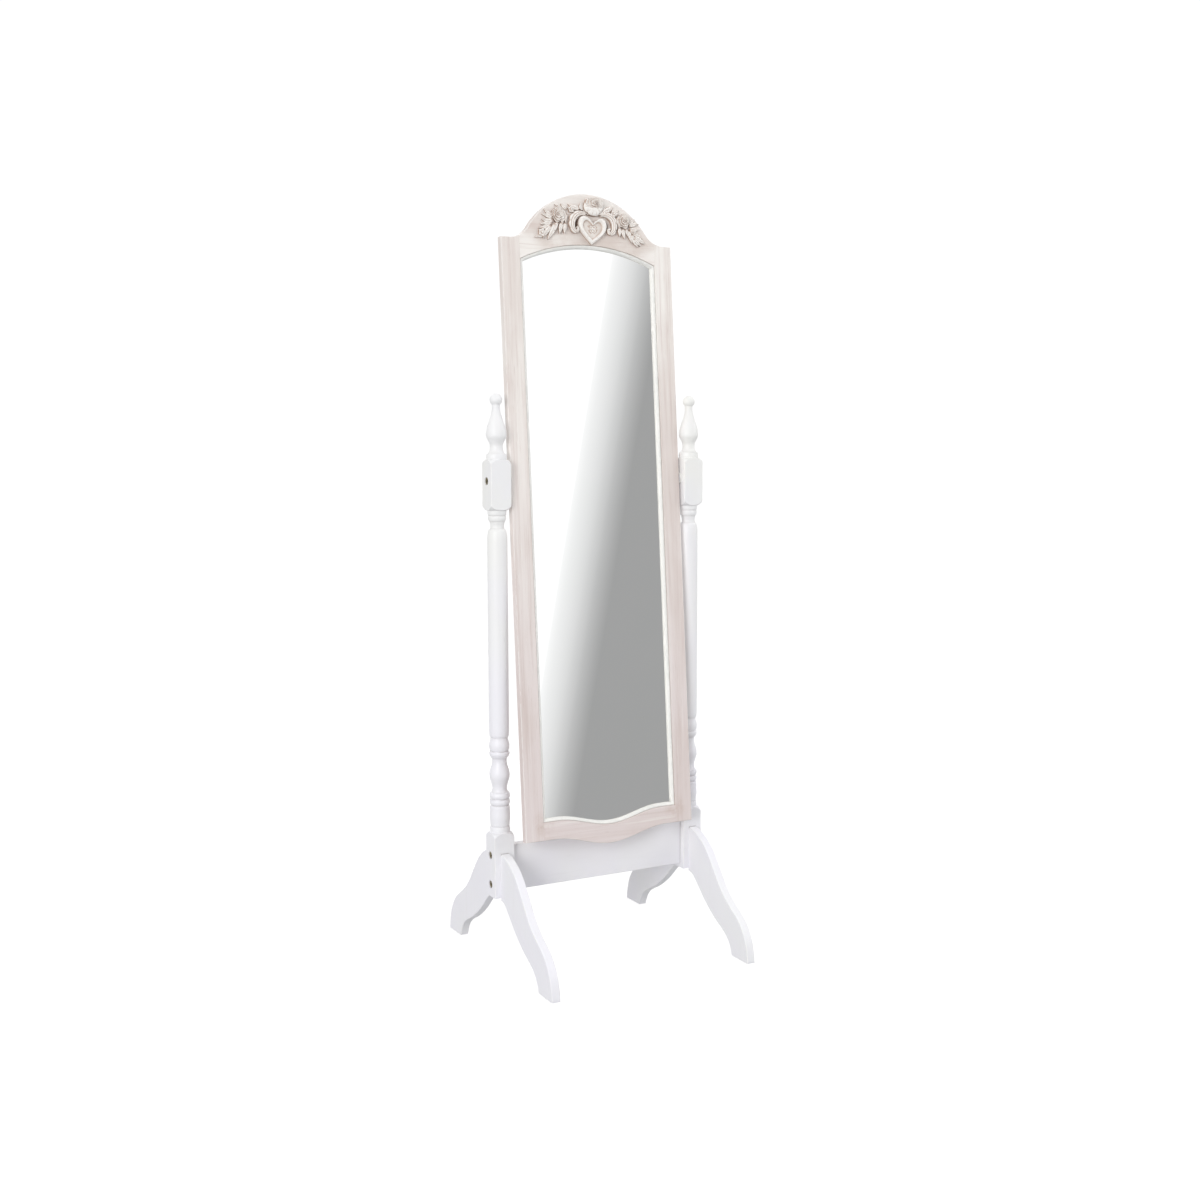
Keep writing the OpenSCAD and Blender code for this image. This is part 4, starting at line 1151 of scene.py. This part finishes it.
# leaves and small flowers: left spray
LEAVES = [
    # base, tip, width, height at base, height at tip, bend, lobes
    ((-78, 524), (-98, 538), 9.0, 4.2, 2.4, 0.10, 0), ((-80, 520), (-104, 528), 8.5, 4.4, 2.4, -0.08, 0),
    ((-80, 515), (-104, 517), 9.0, 4.6, 2.6, 0.08, 0), ((-83, 510), (-107, 507), 8.5, 4.4, 2.2, -0.10, 3),
    ((-86, 505), (-112, 500), 7.5, 4.8, 2.4, 0.08, 3), ((-92, 494), (-121, 481), 8.0, 4.2, 2.2, 0.14, 4),
    ((-85, 504), (-103, 479), 9.5, 5.8, 3.2, -0.10, 4), ((-76, 510), (-93, 478), 10.5, 6.2, 3.6, 0.10, 5),
    ((-70, 512), (-80, 490), 8.5, 6.4, 4.0, -0.08, 0), ((-62, 512), (-66, 491), 9.0, 6.2, 4.2, 0.05, 0),
    ((-54, 512), (-55, 492), 8.5, 6.2, 4.2, 0.05, 0), ((-50, 532), (-59, 508), 9.0, 5.6, 5.2, -0.30, 4),
    ((-47, 530), (-51, 512), 6.5, 5.0, 4.8, -0.28, 0), ((-20, 543), (-44, 551), 9.5, 5.6, 2.6, 0.10, 4),
    ((-18, 539), (-30, 529), 7.5, 5.0, 3.8, 0.1, 0), ((-48, 540), (-60, 551), 7.0, 4.0, 2.4, 0.1, 0),
    ((-56, 538), (-74, 548), 7.0, 3.2, 2.2, -0.14, 0), ((-82, 522), (-91, 531), 6.0, 5.6, 3.2, 0.1, 0),
    # right spray
    ((36, 541), (59, 552), 10.5, 5.8, 2.8, -0.10, 4), ((33, 538), (47, 545), 7.0, 6.0, 4.6, 0.12, 0), ((63, 534), (72, 546), 7.0, 3.8, 2.4, 0.1, 0),
    ((92, 520), (109, 531), 9.0, 4.4, 2.6, -0.10, 0), ((94, 515), (119, 521), 8.5, 4.6, 2.4, 0.08, 0),
    ((95, 509), (121, 510), 8.5, 4.6, 2.4, -0.08, 0), ((95, 505), (117, 499), 8.5, 4.8, 2.6, 0.06, 0),
    ((90, 505), (99, 482), 9.0, 5.8, 3.4, 0.10, 5), ((99, 498), (114, 474), 10.0, 5.6, 3.0, -0.10, 5),
    ((105, 493), (131, 480), 10.0, 5.0, 2.6, 0.12, 5), ((102, 500), (125, 491), 8.0, 4.4, 2.6, 0.10, 4),
    ((104, 490), (121, 476), 7.5, 6.0, 4.0, -0.05, 3), ((71, 510), (71, 493), 8.5, 6.2, 4.2, 0.06, 0),
    ((79, 508), (83, 489), 8.5, 6.2, 4.0, -0.06, 0), ((86, 508), (91, 494), 7.5, 6.2, 4.0, 0.08, 0),
    ((63, 529), (71, 507), 8.5, 5.4, 5.0, 0.26, 4), ((31, 541), (45, 530), 7.5, 5.0, 3.8, -0.1, 0),
]
for b, t, w, h0, h1, bend, lobes in LEAVES:
    leaf(b, t, w, h0 - 1.2, h1 - 0.6, bend=bend, lobes=lobes, twist=0.5)
blossom((-38, 541), 7.5, 5.2, 20)
blossom((59.5, 538.5), 7.5, 5.2, 55)
blossom((-105, 491), 8.5, 5.6, 0)
blossom((104, 503), 5.0, 5.4, 30)

orn = to_object(collect([flat(u, v, FT + h) for u, v, h, k in R.v], R.f), "crest_carving", RESIN, TILT)
soften(orn, 48, weighted=False)

# how hidden each point is, for the wash left in the hollows
me = orn.data
bmw = bmesh.new()
bmw.from_mesh(me)
pl = [bmw.verts.new(Vector(flat(u, v, FT)) * MM) for u, v in ((-170, 440), (170, 440), (170, 600), (-170, 600))]
bmw.faces.new(pl)
tree = BVHTree.FromBMesh(bmw, epsilon=0.0)
bmw.free()
dirs = []
for i in range(22):
    z = 1 - (i + 0.5) / 22 * 0.92
    a = i * 2.399963
    dirs.append(Vector((math.sqrt(1 - z * z) * math.cos(a), math.sqrt(1 - z * z) * math.sin(a), z)))
cav = np.zeros(len(me.vertices))
REACH = 3.6 * MM
for v in me.vertices:
    n = v.normal
    if n.y > 0.5:
        cav[v.index] = 1.0
        continue
    q = Vector((0, 0, 1)).rotation_difference(n)
    o0 = v.co + n * 0.00012
    s = 0.0
    for d in dirs:
        hit = tree.ray_cast(o0, q @ d, REACH)
        if hit[0] is not None:
            s += (1 - 0.55 * hit[3] / REACH) * d.z
    cav[v.index] = s
cav /= sum(d.z for d in dirs)
for first, last in ROSES:  # the petals stand so close that only their edges keep the wash
    cav[first:last] *= 0.55
ink = np.array([k for u, v, h, k in R.v])
give(orn, "cavity", np.clip(np.maximum(cav * 0.78, 0.68 * ink + 0.22 * cav), 0, 1))
place(orn, "mirror", "antiqued_resin", "crest_ornament")

# CAD nodes that stay as they are, out of sight inside the joints
for n, m in (("leg_dowels", BEECH_Y), ("frame_dowels", BEECH_X), ("pivot_inserts", BRIGHT)):
    o = nodes[n]
    if not o.material_slots:
        o.data.materials.append(m)
    for s in o.material_slots:
        s.material = m

# ------------------------------------------------------------------ stage
def stage_plane(name, sx, sy, matrix, mat, cuts=0):
    bm = bmesh.new()
    bmesh.ops.create_grid(bm, x_segments=cuts + 1, y_segments=cuts + 1, size=0.5)
    me = bpy.data.meshes.new(name)
    bm.to_mesh(me)
    bm.free()
    me.transform(Matrix.Diagonal((sx, sy, 1, 1)))
    o = bpy.data.objects.new(name, me)
    scene.collection.objects.link(o)
    me.materials.append(mat)
    o.matrix_world = matrix
    return o


fm = Mat("studio_floor")
x, y, z = fm.xyz()
rr = fm.math("SQRT", fm.math("ADD", fm.math("MULTIPLY", x, x), fm.math("MULTIPLY", y, y)))
n = fm.noise(fm.tc, 3.0, 4)
fm.done(fm.mix(fm.span(n, 0.3, 0.7), (0.33, 0.33, 0.33), (0.35, 0.35, 0.35)), 0.85, fm.bump(fm.noise(fm.tc, 300, 3), 0.05, 0.0002))
fm.b.inputs["Emission Color"].default_value = (1, 1, 1, 1)
fm.b.inputs["Emission Strength"].default_value = 0.76
fm.b.inputs["Specular IOR Level"].default_value = 0.1
tr = fm.t.nodes.new("ShaderNodeBsdfTransparent")
ms = fm.t.nodes.new("ShaderNodeMixShader")
fm.put(ms.inputs[0], fm.span(rr, 0.9, 2.6, 0.0, 1.0))
fm.t.links.new(fm.b.outputs[0], ms.inputs[1])
fm.t.links.new(tr.outputs[0], ms.inputs[2])
fm.t.links.new(ms.outputs[0], fm.out.inputs[0])
floor = stage_plane("floor", 5.4, 5.4, Matrix.Translation((0, 0, -0.0002)), fm.m)
floor.visible_diffuse = False  # what it bounces is part of the world light below

# camera
CAM = Vector((-1.4268, -2.6824, 1.0641))
yaw, pitch, roll = math.radians(28.16), math.radians(-6.26), math.radians(-0.13)
F = Vector((math.cos(pitch) * math.sin(yaw), math.cos(pitch) * math.cos(yaw), math.sin(pitch)))
RT = Vector((math.cos(yaw), -math.sin(yaw), 0))
U = RT.cross(F)
RT2 = RT * math.cos(roll) + U * math.sin(roll)
U2 = U * math.cos(roll) - RT * math.sin(roll)
rot = Matrix((RT2, U2, -F)).transposed().to_4x4()
cd = bpy.data.cameras.new("camera")
cam = bpy.data.objects.new("camera", cd)
scene.collection.objects.link(cam)
cam.matrix_world = Matrix.Translation(CAM) @ rot
cd.sensor_width = 36.0
cd.lens = 1486.39 / 1200 * 36.0
cd.clip_start, cd.clip_end = 0.05, 200
scene.camera = cam

# the studio's grey flag, seen only in the glass: white at the left, grading to grey
NRM = (TILT.to_3x3() @ Vector((0, -1, 0))).normalized()
PIV = TILT @ Vector((0, -GLASS_N * MM, 0))


def seen(px, py):
    """Where the view through a point of the frame meets the glass, and the reflected direction there."""
    X, Y = px - 600, 600 - py
    c, s = math.cos(roll), math.sin(roll)
    X, Y = X * c + Y * s, -X * s + Y * c
    d = (F * 1486.39 + RT * X + U * Y).normalized()
    p = CAM + d * ((PIV - CAM).dot(NRM) / d.dot(NRM))
    return p, d - 2 * d.dot(NRM) * NRM


p0, d0 = seen(595, 540)
CC = p0 + d0 * 2.4
zx = -d0
ax = Vector((0, 0, 1)).cross(zx).normalized()
ay = zx.cross(ax)
CARD = Matrix.Translation(CC) @ Matrix((ax, ay, zx)).transposed().to_4x4()
INV = CARD.inverted()


def on_card(px, py):
    p, d = seen(px, py)
    o, v = INV @ p, INV.to_3x3() @ d
    t = -o.z / v.z
    return Vector((o.x + v.x * t, o.y + v.y * t))


w0, w1 = on_card(608.5, 285), on_card(538.0, 700)   # the white border
g0, g1 = on_card(664.0, 285), on_card(593.0, 700)   # where the grey is full
dirn = (w1 - w0).normalized()
nrm2 = Vector((-dirn.y, dirn.x))
if (g0 - w0).dot(nrm2) < 0:
    nrm2 = -nrm2
wid0, wid1 = (g0 - w0).dot(nrm2), (g1 - w1).dot(nrm2)
cm = Mat("studio_flag")
cm.t.nodes.remove(cm.b)
x, y, z = cm.xyz()
dist = cm.math("ADD", cm.math("MULTIPLY", cm.math("SUBTRACT", x, w0.x), nrm2.x), cm.math("MULTIPLY", cm.math("SUBTRACT", y, w0.y), nrm2.y))
t = cm.math("DIVIDE", dist, (wid0 + wid1) / 2, clamp=True)
ramp = cm.t.nodes.new("ShaderNodeValToRGB")
stops = [(0.0, 255), (0.018, 250), (0.14, 240), (0.30, 230), (0.43, 220), (0.52, 210), (0.62, 200), (0.69, 190), (0.79, 180), (0.89, 170), (1.0, 160.6)]
els = ramp.color_ramp.elements
while len(els) < len(stops):
    els.new(0.5)
for e, (pos, v) in zip(els, stops):
    e.position = pos
    e.color = (*(c / (0.94 if v < 255 else 0.90) for c in lin((v, v, v))), 1.0)
cm.put(ramp.inputs[0], t)
em = cm.t.nodes.new("ShaderNodeEmission")
cm.put(em.inputs[0], ramp.outputs[0])
em.inputs[1].default_value = 1.0
cm.t.links.new(em.outputs[0], cm.out.inputs[0])
card = stage_plane("studio_flag_card", 3.2, 4.6, CARD, cm.m)
card.visible_camera = card.visible_diffuse = card.visible_shadow = False
card.visible_transmission = card.visible_volume_scatter = False

# light
def area_light(name, loc, aim, size, power, color=(1, 1, 1), glossy=True):
    d = bpy.data.lights.new(name, "AREA")
    d.shape, d.size, d.energy, d.color = "SQUARE", size, power, color
    o = bpy.data.objects.new(name, d)
    scene.collection.objects.link(o)
    v = Vector(aim) - Vector(loc)
    o.matrix_world = Matrix.Translation(loc) @ v.to_track_quat("-Z", "Y").to_matrix().to_4x4()
    o.visible_camera = False
    o.visible_glossy = glossy
    return o


area_light("key", (-4.95, -3.85, 1.95), (0, 0, 0.62), 3.0, 204, (1.0, 0.995, 0.99))
area_light("top", (0.2, -0.6, 4.2), (0, 0, 0.4), 3.2, 13, (1.0, 0.995, 0.99), glossy=False)
area_light("fill", (3.2, -1.6, 2.0), (0, 0, 0.8), 2.4, 48, (0.985, 0.99, 1.0), glossy=False)
area_light("back", (1.2, 4.4, 2.4), (0, 0, 0.8), 2.4, 86, (1.0, 0.995, 0.99), glossy=False)

world = bpy.data.worlds.new("studio")
scene.world = world
world.use_nodes = True
wt = world.node_tree
wt.nodes.clear()
wo = wt.nodes.new("ShaderNodeOutputWorld")
seen_bg, lit_bg = wt.nodes.new("ShaderNodeBackground"), wt.nodes.new("ShaderNodeBackground")
seen_bg.inputs[0].default_value, seen_bg.inputs[1].default_value = (1, 1, 1, 1), 1.05
lit_bg.inputs[0].default_value = (0.985, 0.99, 1.0, 1)
wc, wz, wr = wt.nodes.new("ShaderNodeTexCoord"), wt.nodes.new("ShaderNodeSeparateXYZ"), wt.nodes.new("ShaderNodeMapRange")
wt.links.new(wc.outputs["Generated"], wz.inputs[0])
wt.links.new(wz.outputs[2], wr.inputs["Value"])
wr.inputs["From Min"].default_value, wr.inputs["From Max"].default_value = -0.35, 0.35
wr.inputs["To Min"].default_value, wr.inputs["To Max"].default_value = 0.372, 0.588
wt.links.new(wr.outputs["Result"], lit_bg.inputs[1])
lp, wm = wt.nodes.new("ShaderNodeLightPath"), wt.nodes.new("ShaderNodeMixShader")
wt.links.new(lp.outputs["Is Diffuse Ray"], wm.inputs[0])
wt.links.new(seen_bg.outputs[0], wm.inputs[1])
wt.links.new(lit_bg.outputs[0], wm.inputs[2])
wt.links.new(wm.outputs[0], wo.inputs[0])

scene.view_settings.view_transform = "Standard"
scene.view_settings.look = "None"
scene.view_settings.exposure = 0.0
scene.view_settings.gamma = 1.0

bpy.context.view_layer.update()
